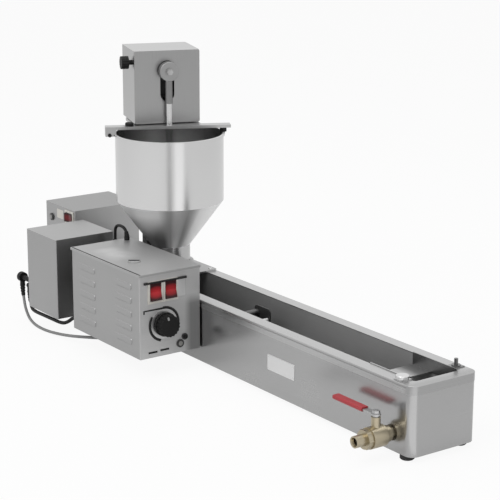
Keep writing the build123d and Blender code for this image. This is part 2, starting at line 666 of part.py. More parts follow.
# Motor box with the conveyor's gear motor, crank and yoke
MOTORBOX_XS = (MOTORBOX_X, MOTORBOX_END)
MOTORBOX_YS = (BOX_FACE, MOTORBOX_BACK - SHEET)
MOTORBOX_ZS = (BOX_BOTTOM, BOX_TOP)
YOKE_X = CRANK_X - THROW
SLOT_XS = (YOKE_X - ARM_W / 2 - GAP, YOKE_X + ARM_W / 2 + STROKE + GAP)

with BuildPart(BASE) as motorbox_shell:
    block(MOTORBOX_XS, MOTORBOX_YS, MOTORBOX_ZS)
    fillet(edges().filter_by(Axis.Z).group_by(Axis.Y)[0], BOX_R)
    hollow(MOTORBOX_XS, MOTORBOX_YS, MOTORBOX_ZS, ("+y",))
save(motorbox_shell, "motorbox_shell")

with BuildPart(BASE) as motorbox_back:
    block(MOTORBOX_XS, (MOTORBOX_BACK - SHEET, MOTORBOX_BACK), MOTORBOX_ZS)
    slot_z = (ARM_Z - GAP, ARM_Z + ARM_T + GAP)
    block(SLOT_XS, (MOTORBOX_BACK - 2 * SHEET, MOTORBOX_BACK + SHEET), slot_z, Mode.SUBTRACT)
save(motorbox_back, "motorbox_back")

CRANK_FACE = YOKE_Y - YOKE_T - GAP
CRANK_BACK = CRANK_FACE - YOKE_T - CRANK_T
MOUNT_FACE = CRANK_BACK - 1.0
with BuildPart(BASE) as conveyor_motor:
    inner_x = (MOTORBOX_X + SHEET, MOTORBOX_END - SHEET)
    block(inner_x, (MOUNT_FACE - PLATE, MOUNT_FACE), (CRANK_Z - CRANK_R - 6, CRANK_Z + CRANK_R + 6))
    rod("y", (MOUNT_FACE - 34, MOUNT_FACE - PLATE), (CRANK_X, CRANK_Z), CRANK_R + 2)
    rod("y", (BOX_FACE + 6, MOUNT_FACE - 34), (CRANK_X, CRANK_Z), CRANK_R - 7)
    rod("y", (MOUNT_FACE, CRANK_FACE - YOKE_T - 1), (CRANK_X, CRANK_Z), BUSH_R)
save(conveyor_motor, "conveyor_motor")

with BuildPart(BASE) as drive_crank:
    rod("y", (CRANK_BACK, CRANK_BACK + CRANK_T), (CRANK_X, CRANK_Z), CRANK_R)
    rod("y", (CRANK_BACK + CRANK_T, CRANK_FACE), (YOKE_X, CRANK_Z), PIN_R)
    rod("y", (CRANK_BACK - 1, CRANK_BACK + CRANK_T + 1), (CRANK_X, CRANK_Z), BUSH_R + FIT, Mode.SUBTRACT)
save(drive_crank, "drive_crank")

YOKE_HALF = THROW + PIN_R + 8.0
LEG_Y = (SHAFT_Y - SHAFT_R - 3, SHAFT_Y + SHAFT_R + 3)
with BuildPart(BASE) as drive_yoke:
    yoke_x = (YOKE_X - PIN_R - 6, YOKE_X + PIN_R + 6)
    block(yoke_x, (YOKE_Y - YOKE_T, YOKE_Y), (CRANK_Z - YOKE_HALF, CRANK_Z + YOKE_HALF))
    slot_x = (YOKE_X - PIN_R - GAP, YOKE_X + PIN_R + GAP)
    slot_z = (CRANK_Z - YOKE_HALF + 4, CRANK_Z + YOKE_HALF - 4)
    block(slot_x, (YOKE_Y - 2 * YOKE_T, YOKE_Y + YOKE_T), slot_z, Mode.SUBTRACT)
    arm_x = (YOKE_X - ARM_W / 2, YOKE_X + ARM_W / 2)
    block(yoke_x, (YOKE_Y, YOKE_Y + YOKE_T), (ARM_Z, CRANK_Z + YOKE_HALF))
    block(arm_x, (YOKE_Y, LEG_Y[1]), (ARM_Z, ARM_Z + ARM_T))
    block(arm_x, LEG_Y, (SHAFT_Z, ARM_Z + ARM_T))
    rod("x", arm_x, (SHAFT_Y, SHAFT_Z), SHAFT_R + 3)
    rod("x", (arm_x[0] - 1, arm_x[1] + 1), (SHAFT_Y, SHAFT_Z), SHAFT_R + FIT, Mode.SUBTRACT)
save(drive_yoke, "drive_yoke")

# Pusher shaft with its bearings, collars and paddles along the near wall of the pan
with BuildPart(BASE) as shaft_bearings:
    for x in BEARING_XS:
        arm = (-PAN_HALF, SHAFT_Y)
        block((x - ARM_T / 2, x + ARM_T / 2), arm, (SHAFT_Z - HUB_R, SHAFT_Z + HUB_R))
        rod("x", (x - ARM_T / 2, x + ARM_T / 2), (SHAFT_Y, SHAFT_Z), HUB_R)
        rod("x", (x - ARM_T, x + ARM_T), (SHAFT_Y, SHAFT_Z), SHAFT_R + FIT, Mode.SUBTRACT)
save(shaft_bearings, "shaft_bearings")

with BuildPart(BASE) as pusher_shaft:
    rod("x", (SHAFT_START, SHAFT_END), (SHAFT_Y, SHAFT_Z), SHAFT_R)
    chamfer(edges().filter_by(GeomType.CIRCLE), SHAFT_R / 4)
    for side in (-1, 1):
        near = YOKE_X + side * (ARM_W / 2 + GAP)
        ring = sorted((near, near + side * COLLAR_L))
        rod("x", ring, (SHAFT_Y, SHAFT_Z), HUB_R)
save(pusher_shaft, "pusher_shaft")

with BuildPart(BASE) as paddles:
    for x in PADDLE_XS:
        side = Plane(origin=spot(x, SHAFT_Y, SHAFT_Z), x_dir=(0, 1, 0), z_dir=(1, 0, 0))
        with BuildSketch(side) as blade:
            Circle(PADDLE_R)
            with Locations((PADDLE_R / 2 + 2, PADDLE_H / 2 - PADDLE_DROP)):
                Rectangle(PADDLE_R - 4, PADDLE_H, mode=Mode.INTERSECT)
            with Locations((HUB_R, -PADDLE_DROP / 2)):
                Rectangle(2 * HUB_R, PADDLE_DROP)
            Circle(SHAFT_R + FIT, mode=Mode.SUBTRACT)
        extrude(blade.sketch, amount=PADDLE_T / 2, both=True)
        with BuildSketch(side) as hub:
            Circle(HUB_R)
            Circle(SHAFT_R + FIT, mode=Mode.SUBTRACT)
        extrude(hub.sketch, amount=HUB_L / 2, both=True)
save(paddles, "paddles")

# Turner half way along the tank, and the discharge plate
with BuildPart(BASE) as turner_frame:
    plate_x = (TURNER_X - 3 * TURNER_ROD_R, TIE_X + 2 * TURNER_ROD_R)
    block(plate_x, (TURNER_Y - PLATE, TURNER_Y), (TIE_Z - 16, TURNER_Z + 11))
    fillet(edges().filter_by(Axis.Y), 6)
    for x, z in ((TURNER_X, TURNER_Z), (TIE_X, TIE_Z)):
        rod("y", (-PAN_HALF, TURNER_Y - PLATE), (x, z), TURNER_ROD_R)
save(turner_frame, "turner_frame")

TRAY_YS = (SHAFT_Y + HUB_R + PLATE, TURNER_Y - PLATE - GAP)
with BuildPart(BASE) as turner_tray:
    side = Plane(origin=spot(TURNER_X, TRAY_YS[0], TURNER_Z), x_dir=(1, 0, 0), z_dir=(0, -1, 0))
    hub_r = TURNER_ROD_R + PLATE
    with BuildSketch(side) as section:
        with BuildLine():
            near = (-hub_r + 1, -1)
            low = (-TRAY_L / 2, -TRAY_DIP)
            tip = (-TRAY_L, -TRAY_DIP / 2)
            thick = Vector(0, -SHEET)
            ThreePointArc(near, low, tip)
            Line(tip, Vector(*tip) + thick)
            ThreePointArc(Vector(*tip) + thick, Vector(*low) + thick, Vector(*near) + thick)
            Line(Vector(*near) + thick, near)
        make_face()
        Circle(hub_r)
        Circle(TURNER_ROD_R + FIT, mode=Mode.SUBTRACT)
    extrude(section.sketch, amount=-span(TRAY_YS))
save(turner_tray, "turner_tray")

with BuildPart(BASE) as discharge_plate:
    tabs_x = (TAB_X, TAB_X + TAB_L)
    block((CHUTE_X, CHUTE_X + CHUTE_L), (-PAN_HALF + GAP, PAN_HALF - GAP), (CHUTE_Z - SHEET, CHUTE_Z))
    for side in (-1, 1):
        cheek = sorted((side * (PAN_HALF - GAP), side * (PAN_HALF - GAP - SHEET)))
        block((CHUTE_X, TAB_X + TAB_L), cheek, (CHUTE_Z - SHEET, SHEET))
        tab = sorted((side * (PAN_HALF - GAP - SHEET), side * (PAN_HALF + TAB_W)))
        block(tabs_x, tab, (0, SHEET))
        hole = (mid(tabs_x), side * (PAN_HALF + TAB_W / 2))
        rod("z", (-1, SHEET + 1), hole, BOLT_R + FIT, Mode.SUBTRACT)
save(discharge_plate, "discharge_plate")

with BuildPart(BASE) as discharge_bolts:
    near, away = [(TAB_X + TAB_L / 2, side * (PAN_HALF + TAB_W / 2)) for side in (-1, 1)]
    rod("z", (SHEET, SHEET + THUMB_H), near, THUMB_R)
    fillet(edges().filter_by(GeomType.CIRCLE), THUMB_H / 5)
    rod("z", (-2 * BOLT_R, SHEET), near, BOLT_R)
    rod("z", (-2 * BOLT_R, SHEET + POST_H), away, BOLT_R)
    rod("z", (SHEET, 2 * SHEET), away, WASHER_R)
save(discharge_bolts, "discharge_bolts")

# Heater box at the feed end, its switch and the elements that run along the pan
HEATER_XS = (HEATER_X - HEATER_L, HEATER_X)
HEATER_YS = (HEATER_FACE, HEATER_W / 2 - SHEET)
HEATER_ZS = (BOX_BOTTOM, HEATER_TOP)

with BuildPart(BASE) as heaterbox_shell:
    block(HEATER_XS, HEATER_YS, HEATER_ZS)
    fillet(edges().filter_by(Axis.Z).group_by(Axis.Y)[0], BOX_R)
    hollow(HEATER_XS, HEATER_YS, HEATER_ZS, ("+y",))
    through = (HEATER_FACE - SHEET, HEATER_FACE + 2 * SHEET)
    reach_x = HEATER_ROCKER_L / 2 + PLATE + GAP
    reach_z = HEATER_ROCKER_W / 2 + PLATE + GAP
    window_x = (HEATER_SWITCH_X - reach_x, HEATER_SWITCH_X + reach_x)
    block(window_x, through, (HEATER_SWITCH_Z - reach_z, HEATER_SWITCH_Z + reach_z), Mode.SUBTRACT)
    rod("y", through, (PILOT_X, PILOT_Z), LAMP_BODY_R + GAP, Mode.SUBTRACT)
    for leg in (ELEMENT_Y - ELEMENT_BEND, ELEMENT_Y + ELEMENT_BEND):
        for side in (-leg, leg):
            rod("x", (HEATER_X - 2 * SHEET, HEATER_X + SHEET), (side, ELEMENT_Z), ELEMENT_R + FIT, Mode.SUBTRACT)
save(heaterbox_shell, "heaterbox_shell")

MAINS_X = HEATER_X - HEATER_L * 0.7
MAINS_Z = BOX_BOTTOM + 35.0
MAINS_R = 9.0
with BuildPart(BASE) as heaterbox_cover:
    block(HEATER_XS, (HEATER_W / 2 - SHEET, HEATER_W / 2), HEATER_ZS)
    rod("y", (HEATER_W / 2 - 2 * SHEET, HEATER_W / 2 + 1), (MAINS_X, MAINS_Z), MAINS_R - 3 + FIT, Mode.SUBTRACT)
save(heaterbox_cover, "heaterbox_cover")

with BuildPart() as heater_rocker:
    rocker(SWITCH_SIDE, HEATER_ROCKER_L, HEATER_ROCKER_W)
save(heater_rocker, "heater_rocker")

ELEMENT_TAIL = HEATER_X - 20.0
with BuildPart() as heating_elements:
    for side in (-1, 1):
        near = side * (ELEMENT_Y - ELEMENT_BEND)
        away = side * (ELEMENT_Y + ELEMENT_BEND)
        with BuildLine() as loop:
            Line(spot(ELEMENT_TAIL, near, ELEMENT_Z), spot(ELEMENT_END, near, ELEMENT_Z))
            bend = spot(ELEMENT_END + ELEMENT_BEND, side * ELEMENT_Y, ELEMENT_Z)
            ThreePointArc(spot(ELEMENT_END, near, ELEMENT_Z), bend, spot(ELEMENT_END, away, ELEMENT_Z))
            Line(spot(ELEMENT_END, away, ELEMENT_Z), spot(ELEMENT_TAIL, away, ELEMENT_Z))
        with BuildSketch(Plane(origin=spot(ELEMENT_TAIL, near, ELEMENT_Z), z_dir=(1, 0, 0))) as section:
            Circle(ELEMENT_R)
        sweep(section.sketch, path=loop.line)
save(heating_elements, "heating_elements")

# Brackets that hang the three boxes on the casing, below the lip
with BuildPart(BASE) as box_brackets:
    bracket_z = (BRACKET_TOP - BRACKET_H, BRACKET_TOP)
    for x in (CONTROL_X + CONTROL_L / 4, CONTROL_X + CONTROL_L * 3 / 4):
        block((x - BRACKET_L / 2, x + BRACKET_L / 2), (CONTROL_BACK, -CASING_HALF), bracket_z)
    x = mid(MOTORBOX_XS)
    block((x - BRACKET_L, x + BRACKET_L), (MOTORBOX_BACK, -CASING_HALF), bracket_z)
    block((HEATER_X, -CASING_X), (-BRACKET_L, BRACKET_L), bracket_z)
save(box_brackets, "box_brackets")

# Hopper, its seat on the rim with a prop under the cone, and the dough nozzle in its neck
SIDE = Plane(origin=BASE.origin, x_dir=(1, 0, 0), z_dir=(0, -1, 0))
with BuildPart(BASE) as hopper_seat:
    block((-SEAT_L / 2, SEAT_L / 2), (-TANK_W / 2, TANK_W / 2), (0, SEAT_T))
    fillet(edges().filter_by(Axis.Z), 6)
    rod("z", (SEAT_T, COLLAR_H), (0, 0), NECK_R + COLLAR_T)
    rod("z", (-1, COLLAR_H + 1), (0, 0), NECK_R + GAP, Mode.SUBTRACT)
    with BuildSketch(SIDE.offset(-PROP_YS[1])) as prop:
        with BuildLine():
            away, near = -SEAT_L / 2, -NECK_R - COLLAR_T - GAP
            Polyline((away, SEAT_T), (away, PROP_TOP), (near, CONE_BOTTOM), (near, SEAT_T), close=True)
        make_face()
    extrude(prop.sketch, amount=span(PROP_YS))
save(hopper_seat, "hopper_seat")

MIDDLE = Axis(BASE.origin, (0, 0, 1))
NOZZLE_OUT = NOZZLE_R + NOZZLE_T
NECK_LIP = NECK_BOTTOM + PLATE
with BuildPart(BASE) as hopper:
    with BuildSketch(SIDE) as wall:
        with BuildLine():
            Polyline(
                (HOPPER_R - SHEET, HOPPER_TOP), (HOPPER_R + HOPPER_RIM, HOPPER_TOP),
                (HOPPER_R + HOPPER_RIM, HOPPER_TOP - HOPPER_RIM_H), (HOPPER_R, HOPPER_TOP - HOPPER_RIM_H),
                (HOPPER_R, CONE_TOP), (NECK_R, CONE_BOTTOM), (NECK_R, COLLAR_H + SEAT_T),
                (NECK_R + COLLAR_T, COLLAR_H + SEAT_T), (NECK_R + COLLAR_T, COLLAR_H), (NECK_R, COLLAR_H),
                (NECK_R, NECK_BOTTOM), (NOZZLE_OUT + GAP, NECK_BOTTOM), (NOZZLE_OUT + GAP, NECK_LIP),
                (NECK_R - SHEET, NECK_LIP), (NECK_R - SHEET, CONE_BOTTOM + SHEET / 2),
                (HOPPER_R - SHEET, CONE_TOP + SHEET / 2), close=True,
            )
        make_face()
    revolve(wall.sketch, MIDDLE)
save(hopper, "hopper")

with BuildPart(BASE) as dough_nozzle:
    with BuildSketch(SIDE) as wall:
        with BuildLine():
            flange_r = NECK_R - SHEET - GAP
            Polyline(
                (NOZZLE_R, NOZZLE_BOTTOM), (NOZZLE_OUT - 1.5, NOZZLE_BOTTOM), (NOZZLE_OUT, NOZZLE_BOTTOM + 4),
                (NOZZLE_OUT, NECK_LIP), (flange_r, NECK_LIP), (flange_r, NECK_LIP + 6),
                (NOZZLE_OUT, NECK_LIP + 6), (NOZZLE_OUT, NOZZLE_TOP - 6), (NOZZLE_R + 0.8, NOZZLE_TOP),
                (NOZZLE_R, NOZZLE_TOP), close=True,
            )
        make_face()
    revolve(wall.sketch, MIDDLE)
save(dough_nozzle, "dough_nozzle")

# Plunger: eye, sleeve, rod, piston and the disc that forms the ring of dough
ROD_TOP = EYE_Z - PLATE
PISTON_TOP = PISTON_Z + PISTON_H
DISC_TOP = NOZZLE_BOTTOM - GAP
with BuildPart(BASE) as plunger_rod:
    rod("z", (PISTON_TOP, ROD_TOP), (0, 0), ROD_R)
    rod("z", (DISC_TOP, PISTON_TOP), (0, 0), SPINDLE_END_R)
save(plunger_rod, "plunger_rod")

with BuildPart(BASE) as piston:
    rod("z", (PISTON_Z, PISTON_TOP), (0, 0), NOZZLE_R - GAP)
    fillet(edges().filter_by(GeomType.CIRCLE).group_by(Axis.Z)[-1], PISTON_H / 3)
    rod("z", (PISTON_Z - 1, PISTON_TOP + 1), (0, 0), SPINDLE_END_R + FIT, Mode.SUBTRACT)
    rod("z", (DISC_TOP - DISC_T, DISC_TOP), (0, 0), DISC_R)
    fillet(edges().filter_by(GeomType.CIRCLE).group_by(Axis.Z)[0], DISC_T / 2)
save(piston, "piston")

with BuildPart(BASE) as rod_sleeve:
    rod("z", (SLEEVE_BOTTOM, EYE_Z - EYE_R - GAP), (0, 0), SLEEVE_R)
    rod("z", (SLEEVE_BOTTOM - 1, EYE_Z), (0, 0), ROD_R + FIT, Mode.SUBTRACT)
save(rod_sleeve, "rod_sleeve")

SLIDER_FRONT = HEAD_FRONT - PLATE - SLIDER_GAP
with BuildPart(HEAD) as drive_eye:
    rod("x", (-EYE_T / 2, EYE_T / 2), (0, EYE_Z), EYE_R)
    fillet(edges().filter_by(GeomType.CIRCLE), PLATE / 2)
    rod("x", (SLIDER_FRONT, -EYE_T / 2), (0, EYE_Z), EYE_PIN_R)
    rod("x", (EYE_T / 2, EYE_T / 2 + PLATE), (0, EYE_Z), EYE_PIN_R)
    rod("z", (EYE_Z - 2 * EYE_R, ROD_TOP), (0, 0), ROD_R + FIT, Mode.SUBTRACT)
save(drive_eye, "drive_eye")

# Bar across the hopper: a strip with a clip over the rim, and a shoe under the drive head
RIM_OUT = HOPPER_R + HOPPER_RIM
CLIP_BOTTOM = HOPPER_TOP - CLIP_DROP
LOCK_PLACE = (-(BAR_NEAR + RIM_OUT) / 2, HOPPER_TOP - PLATE / 2)
with BuildPart(BAR) as bridge_bar:
    strip_x = (-BAR_W / 2, BAR_W / 2)
    block(strip_x, (-BAR_NEAR, BAR_FAR), BAR_Z)
    block(strip_x, (-BAR_NEAR, -RIM_OUT - GAP), (CLIP_BOTTOM, BAR_Z[1]))
    block(strip_x, (-RIM_OUT - GAP, LEDGE - RIM_OUT), (HOPPER_TOP, BAR_Z[1]))
    rod("x", (0, BAR_W), LOCK_PLACE, LOCK_R + FIT, Mode.SUBTRACT)
    with BuildSketch(HEAD.offset(BAR_Z[0])) as shoe:
        with Locations((-SHOE_L / 2, 0)):
            Rectangle(SHOE_L, SHOE_W)
    extrude(shoe.sketch, amount=BAR_T)
    rod("z", (BAR_Z[0] - 1, BAR_Z[1] + 1), (0, 0), ROD_R + FIT, Mode.SUBTRACT)
save(bridge_bar, "bridge_bar")

with BuildPart(BAR) as bar_fittings:
    rod("x", (PLATE, BAR_W / 2), LOCK_PLACE, LOCK_R)
    rod("x", (BAR_W / 2, BAR_W / 2 + LOCK_HEAD_H), LOCK_PLACE, LOCK_HEAD_R)
    rod("z", (HOPPER_TOP, BAR_Z[0]), (0, HOPPER_R), BAR_FOOT_R)
    rod("z", (BAR_Z[1], BAR_Z[1] + BUMPER_H), (BUMPER_X, BUMPER_Y), BUMPER_R)
    fillet(edges().filter_by(GeomType.CIRCLE).group_by(Axis.Z)[-1], BUMPER_H / 3)
save(bar_fittings, "bar_fittings")

HEAD_XS = (HEAD_FRONT - HEAD_DEPTH, HEAD_FRONT - PLATE)
HEAD_YS = (-HEAD_W / 2, HEAD_W / 2)
HEAD_ZS = (HEAD_BOTTOM, HEAD_BOTTOM + HEAD_H)
INNER_Z = (HEAD_ZS[0] + SHEET, HEAD_ZS[1] - SHEET)
with BuildPart(HEAD) as head_rails:
    for side in (-1, 1):
        middle = side * RAIL_SPREAD / 2
        strip = (middle - RAIL_W / 2, middle + RAIL_W / 2)
        block((PLATE - SHOE_L, HEAD_FRONT - RAIL_BACK), strip, (BAR_Z[1], HEAD_ZS[0]))
save(head_rails, "head_rails")

SPEED_X = HEAD_FRONT - SPEED_BACK
with BuildPart(HEAD) as head_shell:
    block(HEAD_XS, HEAD_YS, HEAD_ZS)
    fillet(edges().filter_by(Axis.Z), HEAD_R)
    hollow(HEAD_XS, HEAD_YS, HEAD_ZS, ("+x",))
    side_wall = (HEAD_YS[0] - 1, HEAD_YS[0] + 2 * SHEET)
    rod("y", side_wall, (SPEED_X, SPEED_Z), SPEED_STUB_R + GAP, Mode.SUBTRACT)
save(head_shell, "head_shell")

with BuildPart(HEAD) as head_front:
    block((HEAD_FRONT - PLATE, HEAD_FRONT), HEAD_YS, HEAD_ZS)
    fillet(edges().filter_by(Axis(HEAD.origin, HEAD.x_dir)), HEAD_R)
    face = Plane(origin=HEAD.from_local_coords((HEAD_FRONT - 2 * PLATE, 0, 0)), x_dir=(0, 0, 1), z_dir=HEAD.x_dir)
    with BuildSketch(face) as slot:
        with Locations(((SLOT_BOTTOM + SLOT_TOP) / 2, 0)):
            SlotOverall(SLOT_TOP - SLOT_BOTTOM, SLOT_W)
    extrude(slot.sketch, amount=3 * PLATE, mode=Mode.SUBTRACT)
save(head_front, "head_front")

SLIDER_XS = (SLIDER_FRONT - SLIDER_T, SLIDER_FRONT)
GUIDE_YS = (-GUIDE_SPREAD / 2, GUIDE_SPREAD / 2)
with BuildPart(HEAD) as guide_rods:
    for y in GUIDE_YS:
        rod("z", INNER_Z, (mid(SLIDER_XS), y), GUIDE_R)
save(guide_rods, "guide_rods")

CRANK_HEAD_Z = EYE_Z - HEAD_THROW
HEAD_YOKE_HALF = HEAD_THROW + PIN_R + 8.0
HEAD_YOKE = (SLIDER_XS[0] - YOKE_T, SLIDER_XS[0])
with BuildPart(HEAD) as slider_block:
    block(SLIDER_XS, (-SLIDER_W / 2, SLIDER_W / 2), (EYE_Z - SLIDER_H / 2, EYE_Z + SLIDER_H / 2))
    for y in GUIDE_YS:
        rod("z", INNER_Z, (mid(SLIDER_XS), y), GUIDE_R + FIT, Mode.SUBTRACT)
    block(HEAD_YOKE, (-HEAD_YOKE_HALF, HEAD_YOKE_HALF), (EYE_Z - PIN_R - 6, EYE_Z + PIN_R + 6))
    slot_y = (-HEAD_YOKE_HALF + 4, HEAD_YOKE_HALF - 4)
    slot_z = (EYE_Z - PIN_R - GAP, EYE_Z + PIN_R + GAP)
    block((HEAD_YOKE[0] - 1, HEAD_YOKE[1]), slot_y, slot_z, Mode.SUBTRACT)
save(slider_block, "slider_block")

DISC_XS = (HEAD_YOKE[0] - GAP - YOKE_T - CRANK_T, HEAD_YOKE[0] - GAP - YOKE_T)
with BuildPart(HEAD) as crank_disc:
    rod("x", DISC_XS, (0, CRANK_HEAD_Z), CRANK_R)
    rod("x", (DISC_XS[1], HEAD_YOKE[0] - GAP), (0, EYE_Z), PIN_R)
    rod("x", (DISC_XS[0] - 1, DISC_XS[1] + 1), (0, CRANK_HEAD_Z), BUSH_R + FIT, Mode.SUBTRACT)
save(crank_disc, "crank_disc")

HEAD_MOUNT = DISC_XS[0] - 1.0
MOTOR_BACK = HEAD_XS[0] + SHEET + PLATE
with BuildPart(HEAD) as head_motor:
    mount_y = (HEAD_YS[0] + SHEET, HEAD_YS[1] - SHEET)
    mount_z = (CRANK_HEAD_Z - CRANK_R - 6, CRANK_HEAD_Z + CRANK_R + 6)
    block((HEAD_MOUNT - PLATE, HEAD_MOUNT), mount_y, mount_z)
    rod("x", ((HEAD_MOUNT + MOTOR_BACK) / 2, HEAD_MOUNT - PLATE), (0, CRANK_HEAD_Z), CRANK_R)
    rod("x", (MOTOR_BACK, (HEAD_MOUNT + MOTOR_BACK) / 2), (0, CRANK_HEAD_Z), CRANK_R - 6)
    rod("x", (HEAD_MOUNT, DISC_XS[1] - 1), (0, CRANK_HEAD_Z), BUSH_R)
save(head_motor, "head_motor")

with BuildPart(HEAD) as speed_knob:
    outer = HEAD_YS[0] - SPEED_STUB_L
    rod("y", (outer - SPEED_H, outer), (SPEED_X, SPEED_Z), SPEED_R)
    grooves = Plane(origin=HEAD.from_local_coords((SPEED_X, outer, SPEED_Z)), x_dir=(0, 0, 1), z_dir=-HEAD.y_dir)
    with BuildSketch(grooves) as cuts:
        with PolarLocations(SPEED_R + 0.6, FLUTES - 4):
            Circle(1.4)
    extrude(cuts.sketch, amount=SPEED_H, mode=Mode.SUBTRACT)
    rod("y", (outer, HEAD_YS[0] + SHEET + SPEED_STUB_L), (SPEED_X, SPEED_Z), SPEED_STUB_R)
save(speed_knob, "speed_knob")

# Cable glands and cords
GREY_IN = (MOTORBOX_X - 41.2, BOX_FACE + 10.0, BOX_BOTTOM + 29.5)
BLACK_IN = (MOTORBOX_X - 20.0, BOX_FACE + 14.0, BOX_BOTTOM + 20.5)
GREY_OUT = (CONTROL_X + 108.6, BOX_FACE + 36.0, BOX_BOTTOM - 7.5)
BLACK_OUT = (CONTROL_X - 9.0, BOX_FACE + 18.0, BOX_BOTTOM + 9.0)
LINK_IN = (CONTROL_X + 10.1, CONTROL_BACK - 12.0, BOX_TOP + 3.0)
LINK_OUT = (MOTORBOX_END + 27.3, CONTROL_BACK - 12.0, BOX_TOP - 18.5)
with BuildPart(BASE) as cable_glands:
    grey_z = GREY_IN[2] + 14.0
    rod("x", (GREY_IN[0] - GLAND_T / 2, GREY_IN[0] + GLAND_T / 2), (GREY_IN[1], grey_z), GLAND_R)
    rod("x", (GREY_IN[0], MOTORBOX_X), (GREY_IN[1], grey_z), GLAND_R / 2)
    rod("z", (GREY_IN[2], grey_z), GREY_IN[:2], GREY_R + 2)
    black_z = BLACK_IN[2] + 10.0
    rod("x", (BLACK_IN[0] - 6, MOTORBOX_X), (BLACK_IN[1], black_z), GLAND_R / 2)
    rod("z", (BLACK_IN[2], black_z), BLACK_IN[:2], BLACK_R + 2)
    block((GREY_OUT[0], GREY_OUT[0] + 24), (GREY_OUT[1] - 8, GREY_OUT[1] + 8), (GREY_OUT[2] - 7, BOX_BOTTOM))
    rod("x", (BLACK_OUT[0], CONTROL_X), BLACK_OUT[1:], BLACK_R + 4)
    rod("z", (BOX_TOP, LINK_IN[2]), LINK_IN[:2], LINK_R + 2)
    block((MOTORBOX_END, LINK_OUT[0] + 7), (LINK_OUT[1] - 8, LINK_OUT[1] + 4), (LINK_OUT[2] - 20, LINK_OUT[2]))
    rod("y", (HEATER_W / 2, HEATER_W / 2 + 2 * MAINS_R), (MAINS_X, MAINS_Z), MAINS_R)
    rod("y", (HEATER_W / 2 - MAINS_R, HEATER_W / 2), (MAINS_X, MAINS_Z), MAINS_R - 3)
    rod("y", (HEATER_W / 2 - 2 * MAINS_R, HEATER_W / 2 + 3 * MAINS_R), (MAINS_X, MAINS_Z), GREY_R, Mode.SUBTRACT)
save(cable_glands, "cable_glands")


def beside(place, *steps):
    """Places counted from another one."""
    return [tuple(start + step for start, step in zip(place, move)) for move in steps]


def cord(name, points, radius):
    """A round cord along straight runs with an arc at each turn."""
    places = [spot(*point) for point in points]
    runs = [end - start for start, end in zip(places, places[1:])]
    bends = []
    for first, second in zip(runs, runs[1:]):
        turn = acos(max(-1.0, min(1.0, first.normalized().dot(second.normalized()))))
        bends.append(0.45 * min(first.length, second.length) / tan(turn / 2))
    print(name, "bend radii", [round(bend, 1) for bend in bends])
    with BuildPart() as tube:
        with BuildLine() as route:
            FilletPolyline(*places, radius=bends)
        with BuildSketch(Plane(origin=places[0], z_dir=runs[0])) as section:
            Circle(radius)
        sweep(section.sketch, path=route.line)
    length = sum(edge.length for edge in route.edges())
    ratio = tube.part.volume / (section.sketch.area * length)
    print(name, "volume over section times length", round(ratio, 4))
    save(tube, name)


UNDER = (MOTORBOX_X, BOX_FACE, BOX_BOTTOM)
cord("grey_cord", [
    GREY_IN, *beside(GREY_IN, (0, 0, -11), (7, -2, -26), (17, -5, -39)),
    *beside(UNDER, (-10, 2, -20), (10, -2, -26.5), (40, -5, -29.5), (80, -3, -29.5)),
    *beside(UNDER, (134.8, 4, -24), (186.8, 18, -16)), *beside(GREY_OUT, (-34, 0, 0)), GREY_OUT,
], GREY_R)
cord("black_cord", [
    BLACK_IN, *beside(BLACK_IN, (0, 0, -10), (5, -2, -21)),
    *beside(UNDER, (-4, 8.5, -9), (15, 6, -10.5), (45, 5, -9.5), (77, 5.5, -9), (107, 9, -9.5)),
    *beside(UNDER, (121, 14, -3.5)), *beside(BLACK_OUT, (-20, 0, 0)), BLACK_OUT,
], BLACK_R)
cord("link_cable", [
    LINK_IN, *beside(LINK_IN, (0, 0, 5.5), (-2.2, 0, 11.8), (-8, 0, 16.6), (-15.5, 0, 18.4), (-24.5, 0, 18.4)),
    *beside(LINK_IN, (-32, 0, 16.6), (-37.8, 0, 11.8), (-40, 0, 4)), LINK_OUT,
], LINK_R)

print("hopper axis", round(HOPPER_X, 3), round(TANK_Y, 3))
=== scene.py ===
# %% [markdown]
# # A table-top donut machine
# A hopper feeds rings of dough into a long oil tank, and a row of paddles pushes them
# along to the discharge plate. Almost all of it is folded stainless sheet, so this lesson
# is mostly about steel: how it is brushed, how it mirrors, and which small things on it
# are black, red or pale. The solids come ready-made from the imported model, and each cell
# dresses them or adds a small piece.

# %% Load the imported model
import json
from math import cos, pi, radians, sin

import bmesh
import bpy
from mathutils import Matrix, Vector


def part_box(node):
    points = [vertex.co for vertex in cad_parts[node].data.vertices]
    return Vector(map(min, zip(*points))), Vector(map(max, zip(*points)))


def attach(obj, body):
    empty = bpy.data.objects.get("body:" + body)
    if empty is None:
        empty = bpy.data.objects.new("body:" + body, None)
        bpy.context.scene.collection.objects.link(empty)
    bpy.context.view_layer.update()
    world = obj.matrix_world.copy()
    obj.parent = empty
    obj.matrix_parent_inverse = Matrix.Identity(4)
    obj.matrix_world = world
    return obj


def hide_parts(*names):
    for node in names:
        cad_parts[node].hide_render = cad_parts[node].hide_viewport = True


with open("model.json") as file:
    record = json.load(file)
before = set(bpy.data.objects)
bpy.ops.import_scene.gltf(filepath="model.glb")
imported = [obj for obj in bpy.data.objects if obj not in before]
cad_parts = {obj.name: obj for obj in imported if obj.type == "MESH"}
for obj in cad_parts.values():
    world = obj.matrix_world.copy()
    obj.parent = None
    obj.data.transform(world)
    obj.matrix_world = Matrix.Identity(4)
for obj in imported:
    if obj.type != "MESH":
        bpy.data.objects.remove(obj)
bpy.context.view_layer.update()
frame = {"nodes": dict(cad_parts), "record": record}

# %% [markdown]
# ## One local frame
# Everything on the machine is measured from the hopper's axis, the middle of the tank and
# the top of its rim. Reading that point from the solids keeps every added piece in step
# with them; typing world coordinates would go wrong as soon as the tank changed.

